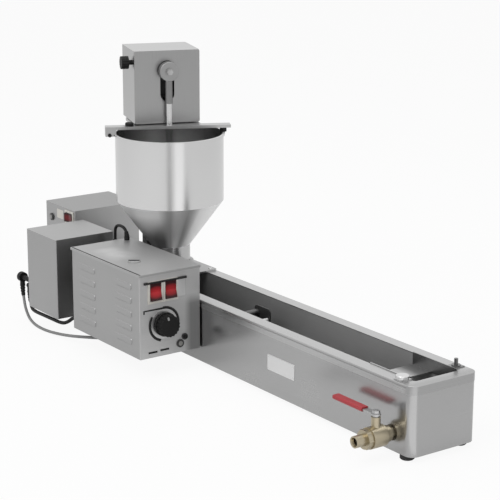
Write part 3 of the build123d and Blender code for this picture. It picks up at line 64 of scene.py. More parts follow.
# %% Local frame in millimetres
hopper_low, hopper_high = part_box("hopper")
tank_low, tank_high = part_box("tank_rim")
ORIGIN = Vector(((hopper_low.x + hopper_high.x) / 2, (tank_low.y + tank_high.y) / 2, tank_high.z))
MM = 0.001
HAIR = 0.2
X, Y, Z = Vector((1, 0, 0)), Vector((0, 1, 0)), Vector((0, 0, 1))


def place(x, y, z):
    """A local place in millimetres as a point of the scene in metres."""
    return ORIGIN + Vector((x, y, z)) * MM


def edge(node, axis, high):
    """The local coordinate of one side of a solid, in millimetres."""
    return (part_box(node)[high][axis] - ORIGIN[axis]) / MM


def middle(node, axis):
    """The local coordinate halfway between two sides of a solid, in millimetres."""
    return (edge(node, axis, 0) + edge(node, axis, 1)) / 2


def add_object(name, data):
    """A new object of the scene with this mesh, curve, lens or lamp."""
    made = bpy.data.objects.new(name, data)
    bpy.context.scene.collection.objects.link(made)
    return made


print("local origin:", [round(v, 4) for v in ORIGIN])

# %% [markdown]
# ## The camera
# The picture was taken from the discharge end on the control side, a little above the
# machine, with a long lens: the box edges hardly converge. The angles below are a fit to
# the box corners and the hopper's rim. The lens has no shift, because a shift would push
# the machine off centre in every other view.

# %% Camera
YAW, PITCH, ROLL = radians(144.330), radians(14.788), radians(-0.162)
CAMERA_AT = (2380.4, -1534.0, 782.6)
ahead = Vector((cos(PITCH) * cos(YAW), cos(PITCH) * sin(YAW), -sin(PITCH)))
level = Vector((sin(YAW), -cos(YAW), 0))
down = ahead.cross(level)
right = cos(ROLL) * level + sin(ROLL) * down
down = cos(ROLL) * down - sin(ROLL) * level
lens = bpy.data.cameras.new("camera")
lens.lens = 118.02
camera = add_object("camera", lens)
turn = Matrix((right, -down, -ahead)).transposed()
camera.matrix_world = Matrix.Translation(place(*CAMERA_AT)) @ turn.to_4x4()
bpy.context.scene.camera = camera
print("camera at", [round(v, 3) for v in camera.matrix_world.translation])

# %% [markdown]
# ## Writing shaders as sums
# A finish is a little arithmetic on noise: so much scratch, so much cloud, a roughness
# around some mean. Wrapping a socket in a class whose operators add Math nodes lets the
# sums be read as sums. Every other kind of node comes from the one method `node`.


# %% A socket that can be added and multiplied
class Wire:
    """An output socket in a node tree; arithmetic on it adds Math nodes."""

    def __init__(self, tree, socket=None):
        self.tree = tree
        self.socket = socket

    def node(self, kind, settings=None, sockets=None, out=0):
        """One output of a new node; each of its sockets takes a value or another wire."""
        made = self.tree.nodes.new(kind)
        for name, value in (settings or {}).items():
            setattr(made, name, value)
        for key, value in (sockets or {}).items():
            if isinstance(value, Wire):
                self.tree.links.new(value.socket, made.inputs[key])
            else:
                made.inputs[key].default_value = value
        return Wire(self.tree, made.outputs[out] if len(made.outputs) else None)

    def math(self, operation, first, second):
        return self.node("ShaderNodeMath", {"operation": operation}, {0: first, 1: second})

    def __add__(self, other):
        return self.math("ADD", self, other)

    __radd__ = __add__

    def __sub__(self, other):
        return self.math("SUBTRACT", self, other)

    def __rsub__(self, other):
        return self.math("SUBTRACT", other, self)

    def __mul__(self, other):
        return self.math("MULTIPLY", self, other)

    def tint(self, low, high):
        """A colour on the way from one to another, as far along as this value."""
        sockets = {0: self, 6: (*low, 1), 7: (*high, 1)}
        return self.node("ShaderNodeMix", {"data_type": "RGBA"}, sockets, out=2)

    def scaled(self, factor):
        """This colour made darker or lighter."""
        return self.node("ShaderNodeVectorMath", {"operation": "SCALE"}, {0: self, "Scale": factor})

    def ramp(self, start, end):
        """0 up to one value and 1 from another, straight between them."""
        return self.node("ShaderNodeMapRange", None, {0: self, 1: start, 2: end})

    def noise(self, stretch, detail=3.0):
        """Noise over this vector, with so many features a metre along x, y and z."""
        spread = self.node("ShaderNodeMapping", None, {"Vector": self, "Scale": stretch})
        sockets = {"Vector": spread, "Scale": 1.0, "Detail": detail}
        return self.node("ShaderNodeTexNoise", None, sockets)


def new_finish(name, fixed):
    """A material, its Principled shader with constant sockets set, and its Object coordinates."""
    made = bpy.data.materials.new(name)
    made.use_nodes = True
    skin = made.node_tree.nodes["Principled BSDF"]
    for socket, value in fixed.items():
        skin.inputs[socket].default_value = value
    here = Wire(made.node_tree).node("ShaderNodeTexCoord", out=3)
    return made, skin, here


def feed(skin, socket, wire):
    """Join a wire to a socket of the shader."""
    wire.tree.links.new(wire.socket, skin.inputs[socket])


print("shader helpers ready")

# %% [markdown]
# ## Stainless sheet
# Brushed sheet is a mirror with fine parallel scratches. The scratches widen reflections,
# and a slow cloudiness varies them from place to place. Noise that is stretched along one
# direction gives the scratches, and a second, coarse noise the clouds. An image of real
# scratches would look alike but could not be kept in the script.

# %% Brushed steel
CLOUDS = (11, 11, 11)
SCRATCH_SHARE = 0.45
SCRATCH_ROUGH, CLOUD_ROUGH = 0.08, 0.10
SCRATCH_DEPTH = 0.0003
FACE_ON = 0.2


def split(here):
    """The local x, y and z in millimetres of Object coordinates."""
    apart = here.node("ShaderNodeVectorMath", {"operation": "SUBTRACT"}, {0: here, 1: ORIGIN})
    parts = apart.node("ShaderNodeSeparateXYZ", None, {0: apart}).socket.node.outputs
    return [Wire(here.tree, part) * (1 / MM) for part in parts]


def facing(here, way):
    """1 on faces that look along a direction or against it, and 0 on the others."""
    out = here.node("ShaderNodeNewGeometry", out=1)
    turn = here.node("ShaderNodeVectorMath", {"operation": "DOT_PRODUCT"}, {0: out, 1: way}, out=1)
    return turn.math("GREATER_THAN", turn * turn, FACE_ON)


def steel(
    name, dark, light, polish, lines, ends=None, relief=0.03, metal=1.0, slopes=0.0, shade=None,
):
    """Brushed metal between two colours.

    polish is the mean roughness, lines the scratches a metre along x, y and z, ends the same
    for the faces across the brushing, metal is below 1 for sheet that has gone dull, slopes
    is how much rougher the sloping faces are, and shade a function that scales the colour.
    """
    made, skin, here = new_finish(name, {"Metallic": metal})
    scratch = here.noise(lines, 2.0)
    if ends:
        is_end = facing(here, X)
        scratch = scratch * (1 - is_end) + here.noise(ends, 2.0) * is_end
    cloud = here.noise(CLOUDS, 4.0)
    colour = (scratch * SCRATCH_SHARE + cloud * (1 - SCRATCH_SHARE)).tint(dark, light)
    feed(skin, "Base Color", colour.scaled(shade(here)) if shade else colour)
    smoothest = polish - (SCRATCH_ROUGH + CLOUD_ROUGH) / 2
    rough = smoothest + scratch * SCRATCH_ROUGH + cloud * CLOUD_ROUGH
    if slopes:
        rough = rough + facing(here, Z) * slopes
    feed(skin, "Roughness", rough)
    sockets = {"Strength": relief, "Distance": SCRATCH_DEPTH, "Height": scratch}
    feed(skin, "Normal", here.node("ShaderNodeBump", None, sockets))
    return made


def grey(shade):
    """A colour without tint."""
    return (shade, shade, shade)


print("steel helpers ready")

# %% [markdown]
# ## Light and dark by place
# Some sheets are lighter or darker in one place than in another, and a shade function scales
# their colour there, in local millimetres. The values follow the picture. All of it is painted
# light and shade: painted reflections, highlights and shadows. Each function says which.


# %% Shades
def bump(wire, peak, half):
    """1 at a peak value, falling to 0 at half a width on either side."""
    off = (wire - peak) * (1 / half)
    return off.math("MAXIMUM", 1 - off * off, 0.0)


CONE_Z = (48.0, 129.5)


def cone_shade(here):
    """Painted reflections in strips up the cone, by bearing round the hopper in degrees, over a
    neck in painted shade.
    """
    x, y, z = split(here)
    bearing = y.math("ARCTAN2", y, x) * (180 / pi)
    left = bearing.ramp(-36, -46) * bearing.ramp(-170, -130)
    right = bearing.ramp(-8, 3) * bearing.ramp(170, 130)
    bright, dark = bump(bearing, -22, 10), bump(bearing, -118, 16)
    strips = left * (z.ramp(64, 114) - 0.52) + bright * 0.62 + right * 0.34 - dark * 0.5
    on_cone = z.ramp(CONE_Z[0], CONE_Z[0] + HAIR) * z.ramp(CONE_Z[1] + HAIR, CONE_Z[1])
    neck = z.ramp(CONE_Z[0], CONE_Z[0] - HAIR)
    return 1 + on_cone * (strips - 0.12) - neck * 0.3


def pan_shade(here):
    """Painted shade: the pan is half as bright at its feed end as toward the discharge end."""
    return 0.52 + split(here)[0].ramp(-50, 430) * 0.50


def panel_shade(here):
    """Painted shade: the panel is darker low down on the side toward the tank."""
    _, y, z = split(here)
    return 1 - y.ramp(-97, -84) * z.ramp(16, -2) * 0.50


def turner_shade(here):
    """Painted shade makes the turner's plate nearly black, and painted light makes its rods pale.
    """
    return 1 - split(here)[1].ramp(4.5, 5.5) * 0.97


def discharge_shade(here):
    """Painted shade: the far half of the discharge plate is darker."""
    return 1 - split(here)[1].ramp(4, 20) * 0.45


def post_shade(here):
    """Painted light makes the near post with its thumb nut bright, and painted shade the far one
    dark.
    """
    return 1.2 - split(here)[1].ramp(-10, 10) * 0.85


def rim_shade(here):
    """Painted shade: the rim is a little darker at the discharge end."""
    return 1 - split(here)[0].ramp(708, 720) * 0.2


def lid_shade(here):
    """A painted reflection: an uneven bright patch near the lid's outer edge."""
    x, y, _ = split(here)
    patchy = here.noise((26, 26, 26), 4.0) * 1.4 - 0.2
    return 1 + bump(x, 49, 46) * bump(y, -143, 30) * patchy * 0.75


def louvre_shade(here):
    """Painted shade makes the ends of the louvre hoods, which stand proud of the wall, darker than
    it.
    """
    return 1 - facing(here, X) * split(here)[1].ramp(-184.0, -184.3) * 0.22


def heater_shade(here):
    """Painted shade: the top of the heater box is darker than its sides."""
    return 1 - facing(here, Z) * 0.22


print("shades ready")

# %% [markdown]
# ## The steel pieces
# One finish for each steel slot of the record, and then those that single solids need.
# Scratches run along a sheet, up it, round it or across it, and along an upright rod. On
# bright turned pieces they are fine in all directions.

# %% Steel finishes
LONG, UPRIGHT, AROUND = (7, 1700, 1700), (1700, 1700, 7), (9, 9, 1700)
ACROSS, ROD = (1700, 7, 1700), (900, 900, 30)
finishes = {
    "tank_sheet": steel("tank sheet", grey(0.38), grey(0.45), 0.25, LONG, ACROSS),
    "box_sheet": steel("box sheet", grey(0.35), grey(0.42), 0.40, LONG, ACROSS, shade=louvre_shade),
    "head_sheet": steel("head sheet", grey(0.42), grey(0.49), 0.30, UPRIGHT),
    "hopper_sheet": steel(
        "hopper sheet", grey(0.63), grey(0.70), 0.20, AROUND, slopes=0.34, shade=cone_shade,
    ),
    "bright_steel": steel(
        "bright steel", grey(0.60), grey(0.70), 0.18, (900, 900, 900), relief=0.02,
    ),
    "plain_steel": steel("plain steel", grey(0.42), grey(0.52), 0.33, ROD),
    "sleeve_steel": steel("sleeve steel", grey(0.22), grey(0.29), 0.36, (900, 900, 20)),
    "pale_eye": steel("turned aluminium", grey(0.30), grey(0.36), 0.38, (1200, 1200, 1200)),
    "valve_brass": steel(
        "plated brass", (0.36, 0.31, 0.22), (0.50, 0.45, 0.34), 0.32, (900, 1500, 900),
    ),
    "element_sheath": steel(
        "element sheath", (0.10, 0.09, 0.08), (0.22, 0.20, 0.18), 0.48, (70, 900, 900),
    ),
}
# The pan's sheet is dull, and its colour carries painted shade toward the feed end.
pan_sheet = steel(
    "dull pan with painted feed-end shade", grey(0.30), grey(0.42), 0.50, LONG, ACROSS, metal=0.35, shade=pan_shade,
)
rim_sheet = steel("rim sheet", grey(0.44), grey(0.52), 0.30, LONG, ACROSS, shade=rim_shade)
lid_sheet = steel("lid sheet", grey(0.36), grey(0.44), 0.46, LONG, metal=0.55, shade=lid_shade)
panel_sheet = steel(
    "panel sheet", grey(0.50), grey(0.60), 0.40, ACROSS, metal=0.6, shade=panel_shade,
)
heater_sheet = steel(
    "heater box sheet", grey(0.36), grey(0.43), 0.40, LONG, ACROSS, shade=heater_shade,
)
# The head's front is a darker copy of the head's steel: painted shade on that face.
front_sheet = steel("head front", grey(0.31), grey(0.37), 0.30, UPRIGHT)
# The turner's pale base is painted light on its rods; its plate takes painted shade.
turner_steel = steel(
    "turner steel", grey(0.78), grey(0.88), 0.50, ACROSS, metal=0.15, shade=turner_shade,
)
plate_steel = steel("discharge plate", grey(0.46), grey(0.56), 0.33, LONG, shade=discharge_shade)
post_steel = steel("post steel", grey(0.50), grey(0.58), 0.33, ROD, shade=post_shade)
# Dark steel: the heating elements' own dark sheath, and painted shade on the turner's tray.
dark_steel = steel("dark steel with the tray in painted shade", grey(0.10), grey(0.18), 0.45, ROD)
# Near-black steel on the drive parts inside the head is painted shade.
inner_steel = steel("drive steel in painted shade", grey(0.02), grey(0.05), 0.45, ROD)
bare_plate = steel("bare plate", grey(0.68), grey(0.76), 0.34, (1500, 40, 40))
print("steel finishes by slot:", len(finishes))

# %% [markdown]
# ## Plastic, rubber, vinyl and paint
# Moulded pieces have a base colour that hardly varies, a fine grain from the mould, and a
# gloss that varies a little from place to place. One function with a grain size and a grain
# depth covers knobs, lenses, cords, ink and feet.

# %% Moulded and painted finishes
GLOSS_CLOUDS = (30, 30, 30)
GRAIN_SHARE = 0.4
GRAIN_ROUGH, GLOSS_ROUGH = 0.08, 0.12
GRAIN_DEPTH = 0.0004


def moulded(name, dark, light, polish, grain, relief=0.10, coat=0.0, shine=0.5):
    """A non-metal between two colours.

    polish is the mean roughness, grain the grains a metre, relief their depth, coat a clear
    layer over it, and shine how strongly it mirrors.
    """
    fixed = {"Metallic": 0.0, "Coat Weight": coat, "Specular IOR Level": shine}
    made, skin, here = new_finish(name, fixed)
    fine = here.noise((grain, grain, grain), 3.0)
    cloud = here.noise(GLOSS_CLOUDS, 3.0)
    feed(skin, "Base Color", (fine * GRAIN_SHARE + cloud * (1 - GRAIN_SHARE)).tint(dark, light))
    smoothest = polish - (GRAIN_ROUGH + GLOSS_ROUGH) / 2
    feed(skin, "Roughness", smoothest + fine * GRAIN_ROUGH + cloud * GLOSS_ROUGH)
    sockets = {"Strength": relief, "Distance": GRAIN_DEPTH, "Height": fine}
    feed(skin, "Normal", here.node("ShaderNodeBump", None, sockets))
    return made


finishes |= {
    "black_plastic": moulded("black plastic", grey(0.003), grey(0.008), 0.55, 1500, shine=0.28),
    "pale_plastic": moulded("pale plastic", (0.60, 0.58, 0.53), (0.74, 0.72, 0.67), 0.36, 1200),
    "red_rocker": moulded(
        "red rocker", (0.42, 0.012, 0.016), (0.58, 0.022, 0.026), 0.25, 900, 0.04, 0.3,
    ),
    "dark_red_rocker": moulded(
        "dark red rocker", (0.16, 0.010, 0.014), (0.25, 0.016, 0.02), 0.27, 900, 0.04, 0.3,
    ),
    "lamp_lens": moulded("lamp lens", (0.20, 0.20, 0.19), (0.34, 0.33, 0.32), 0.30, 500, 0.04, 0.3),
    "red_vinyl": moulded("red vinyl", (0.34, 0.022, 0.030), (0.46, 0.034, 0.044), 0.42, 800, 0.12),
    "foot_rubber": moulded("foot rubber", grey(0.008), grey(0.020), 0.60, 900, 0.2),
    "motor_paint": moulded("motor paint", grey(0.05), grey(0.09), 0.45, 600, 0.12),
    "cord_grey": moulded("grey cord", grey(0.20), grey(0.28), 0.45, 1200),
    "cord_black": moulded("black cord", grey(0.004), grey(0.010), 0.52, 1200, shine=0.3),
}
black_ink = moulded("black ink", grey(0.004), grey(0.008), 0.7, 2000, 0.02)
white_mark = moulded("white mark", grey(0.28), grey(0.40), 0.5, 1500, 0.02)
dark_trim = moulded("dark trim", grey(0.03), grey(0.06), 0.5, 1500, 0.04)
print("all finishes by slot:", len(finishes))

# %% [markdown]
# ## Dress the solids
# The record says which material slot each solid has, so the finishes go on by slot, and
# nothing is missed. Then some solids get a finish of their own: those that the picture shows
# lighter or darker than their slot, most with painted light and shade, and some that lie
# inside the boxes and the pan, most in painted shade. The rockers come last, with a painted
# glow in the middle and painted shade at the ends; the colour of each is worked out from its own
# box.

# %% Finishes on the solids
PAINTED_GLOW_HEIGHT, PAINTED_GLOW_WIDTH = 0.38, 0.80
ROCKER_SMOOTHEST, ROCKER_ROUGH = 0.26, 0.10
ROCKER_GRAIN = (900, 900, 900)


def dress(node, finish):
    """One finish on the whole of a solid."""
    solid = frame["nodes"][node]
    solid.data.materials.clear()
    solid.data.materials.append(finish)


def painted_glow_rocker(name, node, across, core, rim):
    """A clear red rocker: a painted glow in the middle, painted shade toward its ends, less so at
    its sides.

    across is the axis that runs across it, 0 for x and 1 for y.
    """
    made, skin, here = new_finish(name, {"Metallic": 0.0, "Specular IOR Level": 0.3})
    low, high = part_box(node)
    per_reach = [0.0, 0.0, 1 / ((high.z - low.z) * PAINTED_GLOW_HEIGHT)]
    per_reach[across] = 1 / ((high[across] - low[across]) * PAINTED_GLOW_WIDTH)
    core_at = (low + high) / 2
    off = here.node("ShaderNodeVectorMath", {"operation": "SUBTRACT"}, {0: here, 1: core_at})
    off = off.node("ShaderNodeVectorMath", {"operation": "MULTIPLY"}, {0: off, 1: per_reach})
    away = off.node("ShaderNodeVectorMath", {"operation": "LENGTH"}, {0: off}, out=1)
    fade = away.math("MINIMUM", away * away, 1.0)
    feed(skin, "Base Color", fade.tint(core, rim))
    feed(skin, "Roughness", ROCKER_SMOOTHEST + here.noise(ROCKER_GRAIN) * ROCKER_ROUGH)
    dress(node, made)


for part in frame["record"]["subparts"]:
    dress(part["node"], finishes[part["material_slot"]])
special = {
    "oil_tank": pan_sheet, "tank_rim": rim_sheet, "control_lid": lid_sheet, "lid_plug": lid_sheet,
    "control_panel": panel_sheet, "panel_bezels": dark_trim, "heaterbox_shell": heater_sheet,
    "head_front": front_sheet, "turner_tray": dark_steel, "turner_frame": turner_steel,
    "heating_elements": dark_steel, "drive_yoke": inner_steel, "drive_crank": inner_steel,
    "crank_disc": inner_steel, "slider_block": inner_steel, "discharge_plate": plate_steel,
    "discharge_bolts": post_steel,
}
for node, finish in special.items():
    dress(node, finish)
# Each rocker's first colour is a painted glow in its middle, and its second painted shade at its
# ends.
painted_glow_rocker("left rocker", "left_rocker", 1, (0.52, 0.018, 0.026), (0.03, 0.001, 0.002))
painted_glow_rocker("right rocker", "right_rocker", 1, (0.42, 0.015, 0.019), (0.03, 0.001, 0.002))
painted_glow_rocker("heater rocker", "heater_rocker", 0, (0.16, 0.006, 0.008), (0.03, 0.003, 0.004))

# %% [markdown]
# ## Small pieces
# The rest are small things that sit on the solids: printed marks, bare plates, screws, a
# nut, a knob's pointer and cable boots. Each is a plain mesh with its place in its vertices,
# and rides on the body that carries it, so it moves with the knob or stays with the box.


# %% A piece from a mesh
def add_piece(name, mesh, body, finish):
    """A small piece with one finish, riding on a body."""
    piece = add_object(name, mesh)
    mesh.materials.clear()
    mesh.materials.append(finish)
    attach(piece, body)
    print(name, "on", body, "faces:", len(mesh.polygons))
    return piece


def plane_at(origin, across, up):
    """A flat frame on a surface: x across it, y up it and z out of it."""
    out = across.cross(up)
    turn = Matrix((across, up, out)).transposed().to_4x4()
    return Matrix.Translation(origin) @ turn


print("piece helpers ready")

# %% [markdown]
# ## Things that repeat or follow a path
# Screw heads repeat, and cable boots and printed strokes follow a path, so Geometry Nodes
# make them. Each tree is built once with named sizes. The result is turned into one plain
# mesh per piece, because an exported model keeps no instances.


# %% A tree and the mesh it makes
def new_tree(name, sizes):
    """A tree with a shape, named sizes and a finish going in, and the wires of these."""
    tree = bpy.data.node_groups.new(name, "GeometryNodeTree")
    tree.interface.new_socket("Geometry", in_out="INPUT", socket_type="NodeSocketGeometry")
    for size in sizes:
        tree.interface.new_socket(size, in_out="INPUT", socket_type="NodeSocketFloat")
    tree.interface.new_socket("Finish", in_out="INPUT", socket_type="NodeSocketMaterial")
    tree.interface.new_socket("Geometry", in_out="OUTPUT", socket_type="NodeSocketGeometry")
    inputs = tree.nodes.new("NodeGroupInput")
    wires = {socket.name: Wire(tree, socket) for socket in inputs.outputs if socket.name}
    return tree, wires


def end_tree(tree, shape, wires):
    """Realize, set the finish and send the shape out."""
    plain = shape.node("GeometryNodeRealizeInstances", None, {0: shape})
    sockets = {"Geometry": plain, "Material": wires["Finish"]}
    done = shape.node("GeometryNodeSetMaterial", None, sockets)
    outputs = tree.nodes.new("NodeGroupOutput")
    tree.links.new(done.socket, outputs.inputs[0])


def grow(tree, mesh, sizes, finish):
    """The plain mesh that a tree makes of a starting mesh."""
    seed = add_object("seed", mesh)
    nodes = seed.modifiers.new("tree", "NODES")
    nodes.node_group = tree
    given = {**sizes, "Finish": finish}
    for socket in tree.interface.items_tree:
        if socket.in_out == "INPUT" and socket.name in given:
            nodes[socket.identifier] = given[socket.name]
    seen = seed.evaluated_get(bpy.context.evaluated_depsgraph_get())
    result = bpy.data.meshes.new_from_object(seen)
    seed.modifiers.remove(nodes)
    bpy.data.objects.remove(seed)
    return result


print("tree helpers ready")

# %% [markdown]
# ## Cords
# Three short cables join the boxes: a grey one and a black one that hang under the motor
# box, and a small black loop over the gap between the boxes. A cable is a fixed length of
# something springy, so each is one smooth NURBS line along the middle of its route, with
# a round bevel. Straight runs with filleted corners would look like bent wire.
#
# Where a cable enters a gland, a ribbed boot tapers onto it so that it can't kink.
# The boot follows the cable's own line: its tree sweeps a circle along the first stretch
# of that line, and a collar height stored on each point makes the ribs. A straight cone
# would leave the cable at the first bend.

# %% A tree for cable boots
boots, put = new_tree("ribbed boots", ["Cord radius"])
line = put["Geometry"].node("GeometryNodeMeshToCurve", None, {0: put["Geometry"]})
collar = line.node("GeometryNodeInputNamedAttribute", None, {"Name": "collar"})
circle = line.node("GeometryNodeCurvePrimitiveCircle", None, {"Resolution": 20, "Radius": 1.0})
radius = collar + put["Cord radius"]
sockets = {"Curve": line, "Profile Curve": circle, "Scale": radius, "Fill Caps": True}
end_tree(boots, line.node("GeometryNodeCurveToMesh", None, sockets), put)
BOOT_RIBS = (
    (0.00, 2.4), (0.15, 2.3), (0.17, 1.5), (0.25, 1.5), (0.27, 2.1), (0.40, 1.9), (0.42, 1.2),
    (0.50, 1.2), (0.52, 1.7), (0.65, 1.5), (0.67, 0.9), (0.75, 0.9), (0.77, 1.3), (0.90, 1.0),
    (1.00, 0.4),
)


def along(line, reaches):
    """The points of a line at some distances from its start."""
    spots, gone, i = [], 0.0, 0
    for reach in reaches:
        while i < len(line) - 2 and gone + (line[i + 1] - line[i]).length < reach:
            gone += (line[i + 1] - line[i]).length
            i += 1
        step = line[i + 1] - line[i]
        spots.append(line[i] + step.normalized() * (reach - gone))
    return spots


def cable_boots(name, line, radius, length):
    """A ribbed boot of a length in millimetres on each end of a cable's line."""
    points, pairs = [], []
    for end in (line, line[::-1]):
        start = len(points)
        points += along(end, [length * share * MM for share, collar in BOOT_RIBS])
        pairs += [(start + i, start + i + 1) for i in range(len(BOOT_RIBS) - 1)]
    mesh = bpy.data.meshes.new(name)
    mesh.from_pydata(points, pairs, [])
    height = mesh.attributes.new("collar", "FLOAT", "POINT")
    for i, item in enumerate(height.data):
        item.value = BOOT_RIBS[i % len(BOOT_RIBS)][1] * MM
    result = grow(boots, mesh, {"Cord radius": radius * MM}, finishes["black_plastic"])
    return add_piece(name, result, "machine", finishes["black_plastic"])


print("tree:", boots.name, len(boots.nodes), "nodes")


# %% Three cables
def lay_cord(name, slot, route, radius, boot):
    """A cable along control points in local millimetres, in place of its solid."""
    line = bpy.data.curves.new(name + "_line", "CURVE")
    line.dimensions = "3D"
    line.resolution_u = 10
    spline = line.splines.new("NURBS")
    spline.points.add(len(route) - 1)
    for point, spot in zip(spline.points, route):
        point.co = (*place(*spot), 1)
    spline.order_u = 3
    spline.use_endpoint_u = True
    piece = add_object(name + "_line", line)
    seen = piece.evaluated_get(bpy.context.evaluated_depsgraph_get())
    thin = [spot.co.copy() for spot in bpy.data.meshes.new_from_object(seen).vertices]
    sleeves = cable_boots(name + "_boots", thin, radius, boot)
    line.bevel_depth = radius * MM
    line.bevel_resolution = 5
    line.use_fill_caps = True
    line.materials.append(finishes[slot])
    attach(piece, "machine")
    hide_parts(name)
    print(name, "spline length", round(spline.calc_length() / MM, 1), "mm")


GREY_ROUTE = [
    (-236, -174, -54), (-236, -174, -65), (-229, -176, -80), (-219, -179, -93),
    (-204.8, -182, -103.5), (-184.8, -186, -110), (-154.8, -189, -113), (-114.8, -187, -113),
    (-60, -180, -107.5), (-8, -166, -99.5), (44, -148, -91), (78, -148, -91),
]
BLACK_ROUTE = [
    (-214.8, -170, -63), (-214.8, -170, -73), (-209.8, -172, -84), (-198.8, -175.5, -92.5),
    (-179.8, -178, -93), (-149.8, -179, -91.5), (-117.8, -178.5, -91), (-87.8, -175, -92.5),
    (-73.8, -170, -87), (-59.6, -166, -74.5), (-39.6, -166, -74.5),
]
LINK_ROUTE = [
    (-20.5, -78, 64.5), (-20.5, -78, 70), (-22.7, -78, 76.3), (-28.5, -78, 81.1), (-36, -78, 82.9),
    (-45, -78, 82.9), (-52.5, -78, 81.1), (-58.3, -78, 76.3), (-60.5, -78, 68.5), (-60.5, -78, 43),
]
lay_cord("grey_cord", "cord_grey", GREY_ROUTE, 2.6, 22)
lay_cord("black_cord", "cord_black", BLACK_ROUTE, 3.2, 20)
lay_cord("link_cable", "cord_black", LINK_ROUTE, 2.7, 12)

# %% [markdown]
# ## Marks on the control box
# The panel carries black printed strokes: a line over the switches, a broken ring round
# the thermostat knob with a lead-in line, and a few dashes near the lamp. They are drawn
# flat in millimetres, given a hair of thickness by the tree and laid on the panel. A
# texture would do for a picture, but strokes of real thickness survive any export. The
# lid's painted shadow line and the painted shade of its plug's slot are strokes too.

# %% A tree for printed strokes
strokes, put = new_tree("printed strokes", ["Width", "Height"])
path = put["Geometry"].node("GeometryNodeMeshToCurve", None, {0: put["Geometry"]})
path = path.node("GeometryNodeSetCurveNormal", {"mode": "Z_UP"}, {0: path})
section = path.node(
    "GeometryNodeCurvePrimitiveQuadrilateral", {"mode": "RECTANGLE"},
    {"Width": put["Width"], "Height": put["Height"]},
)
sockets = {"Curve": path, "Profile Curve": section, "Fill Caps": True}
end_tree(strokes, path.node("GeometryNodeCurveToMesh", None, sockets), put)
print("tree:", strokes.name, len(strokes.nodes), "nodes")

# %% Lines and strokes
ARC_STEP = 6


def arc(centre, radius, start, sweep):
    """Points round a circle; angles in degrees, counter-clockwise from the right."""
    steps = max(3, int(abs(sweep) / ARC_STEP))
    angles = [radians(start + sweep * i / steps) for i in range(steps + 1)]
    return [(centre[0] + radius * cos(a), centre[1] + radius * sin(a)) for a in angles]


def printed(name, lines, width, height, frame_in):
    """Black strokes along flat lines in millimetres, laid on a surface."""
    mesh = bpy.data.meshes.new(name)
    points, pairs = [], []
    for line in lines:
        start = len(points)
        points += [(x * MM, y * MM, height / 2 * MM) for x, y in line]
        pairs += [(start + i, start + i + 1) for i in range(len(line) - 1)]
    mesh.from_pydata(points, pairs, [])
    result = grow(strokes, mesh, {"Width": width * MM, "Height": height * MM}, black_ink)
    result.transform(frame_in)
    add_piece(name, result, "machine", black_ink)


print("stroke helpers ready")

# %% The bar over the switches
PANEL = edge("control_panel", 0, 1)
BEZEL_T, BEZEL_EDGE = 2.0, 3.0
BEZELS = (edge("left_rocker", 1, 0) - BEZEL_EDGE, edge("right_rocker", 1, 1) + BEZEL_EDGE)
BAR_Z, BAR_W, BAR_T = 45.6, 3.6, 0.5
BAR_ENDS = (-176, -93)
panel = plane_at(place(PANEL, 0, 0), Y, Z)
bezel_face = plane_at(place(PANEL + BEZEL_T, 0, 0), Y, Z)
printed("switch_bar", [[(y, BAR_Z) for y in BEZELS]], BAR_W, BAR_T, bezel_face)
spans = ((BAR_ENDS[0], BEZELS[0] - HAIR), (BEZELS[1] + HAIR, BAR_ENDS[1]))
ends = [[(y, BAR_Z) for y in span] for span in spans]
printed("switch_bar_ends", ends, BAR_W, BEZEL_T + BAR_T, panel)

# %% The ring round the knob, and the dashes
INK_T = 0.4
RING_R, RING_W, DASH_W = 28.0, 4.4, 3.2
KNOB = (middle("thermostat_knob", 1), middle("thermostat_knob", 2))
ring = [arc(KNOB, RING_R, 95, -107), arc(KNOB, RING_R, 147, 109)]
printed("dial_ring", ring, RING_W, INK_T, panel)
lead = KNOB[1] + RING_R - 0.6
dashes = [
    [(-176, lead - 5), (-176, lead), (KNOB[0] - 2, lead)],
    [(-168, -74.5), (-151, -74.5)],
    [(-145, -73.5), (-128, -73.5)],
]
printed("panel_dashes", dashes, DASH_W, INK_T, panel)

# %% The lid's painted shadow line and the plug's painted slot
SHADOW_LINE_W, SHADOW_LINE_T = 2.6, 0.2
SLOT_W, SLOT_T = 6.0, 0.3
lid_top = plane_at(place(0, 0, edge("control_lid", 2, 1)), X, Y)
# A black stroke near the lid's outer edge is a painted shadow line.
shadow_line_y = edge("control_lid", 1, 0) + 3.6
shadow_line = [[(edge("control_lid", 0, 0) + 3, shadow_line_y), (edge("control_lid", 0, 1) - 2, shadow_line_y)]]
printed("lid_shadow_line", shadow_line, SHADOW_LINE_W, SHADOW_LINE_T, lid_top)
# The black slot on the plug is painted shade; no recess is cut.
plug_top = plane_at(place(0, 0, edge("lid_plug", 2, 1)), X, Y)
plug_x, plug_y = middle("lid_plug", 0), middle("lid_plug", 1)
slot_ends = [(plug_x + side * 5.5, plug_y + side * 7.6) for side in (-1, 1)]
printed("plug_slot", [slot_ends], SLOT_W, SLOT_T, plug_top)

# %% [markdown]
# ## Bare plates, labels and a pointer
# Flat pieces with rounded corners: one helper cuts a rounded outline and gives it a
# thickness and a small bevel. The plate on the tank's side is left bare and is held by four
# rivets. A pale label is beside the switches, a pale disc behind the thermostat knob and
# another label on the heater box, and the knob has one pointer.

# %% Rounded plates
EASE_SHARE, EASE_MOST = 0.4, 0.8


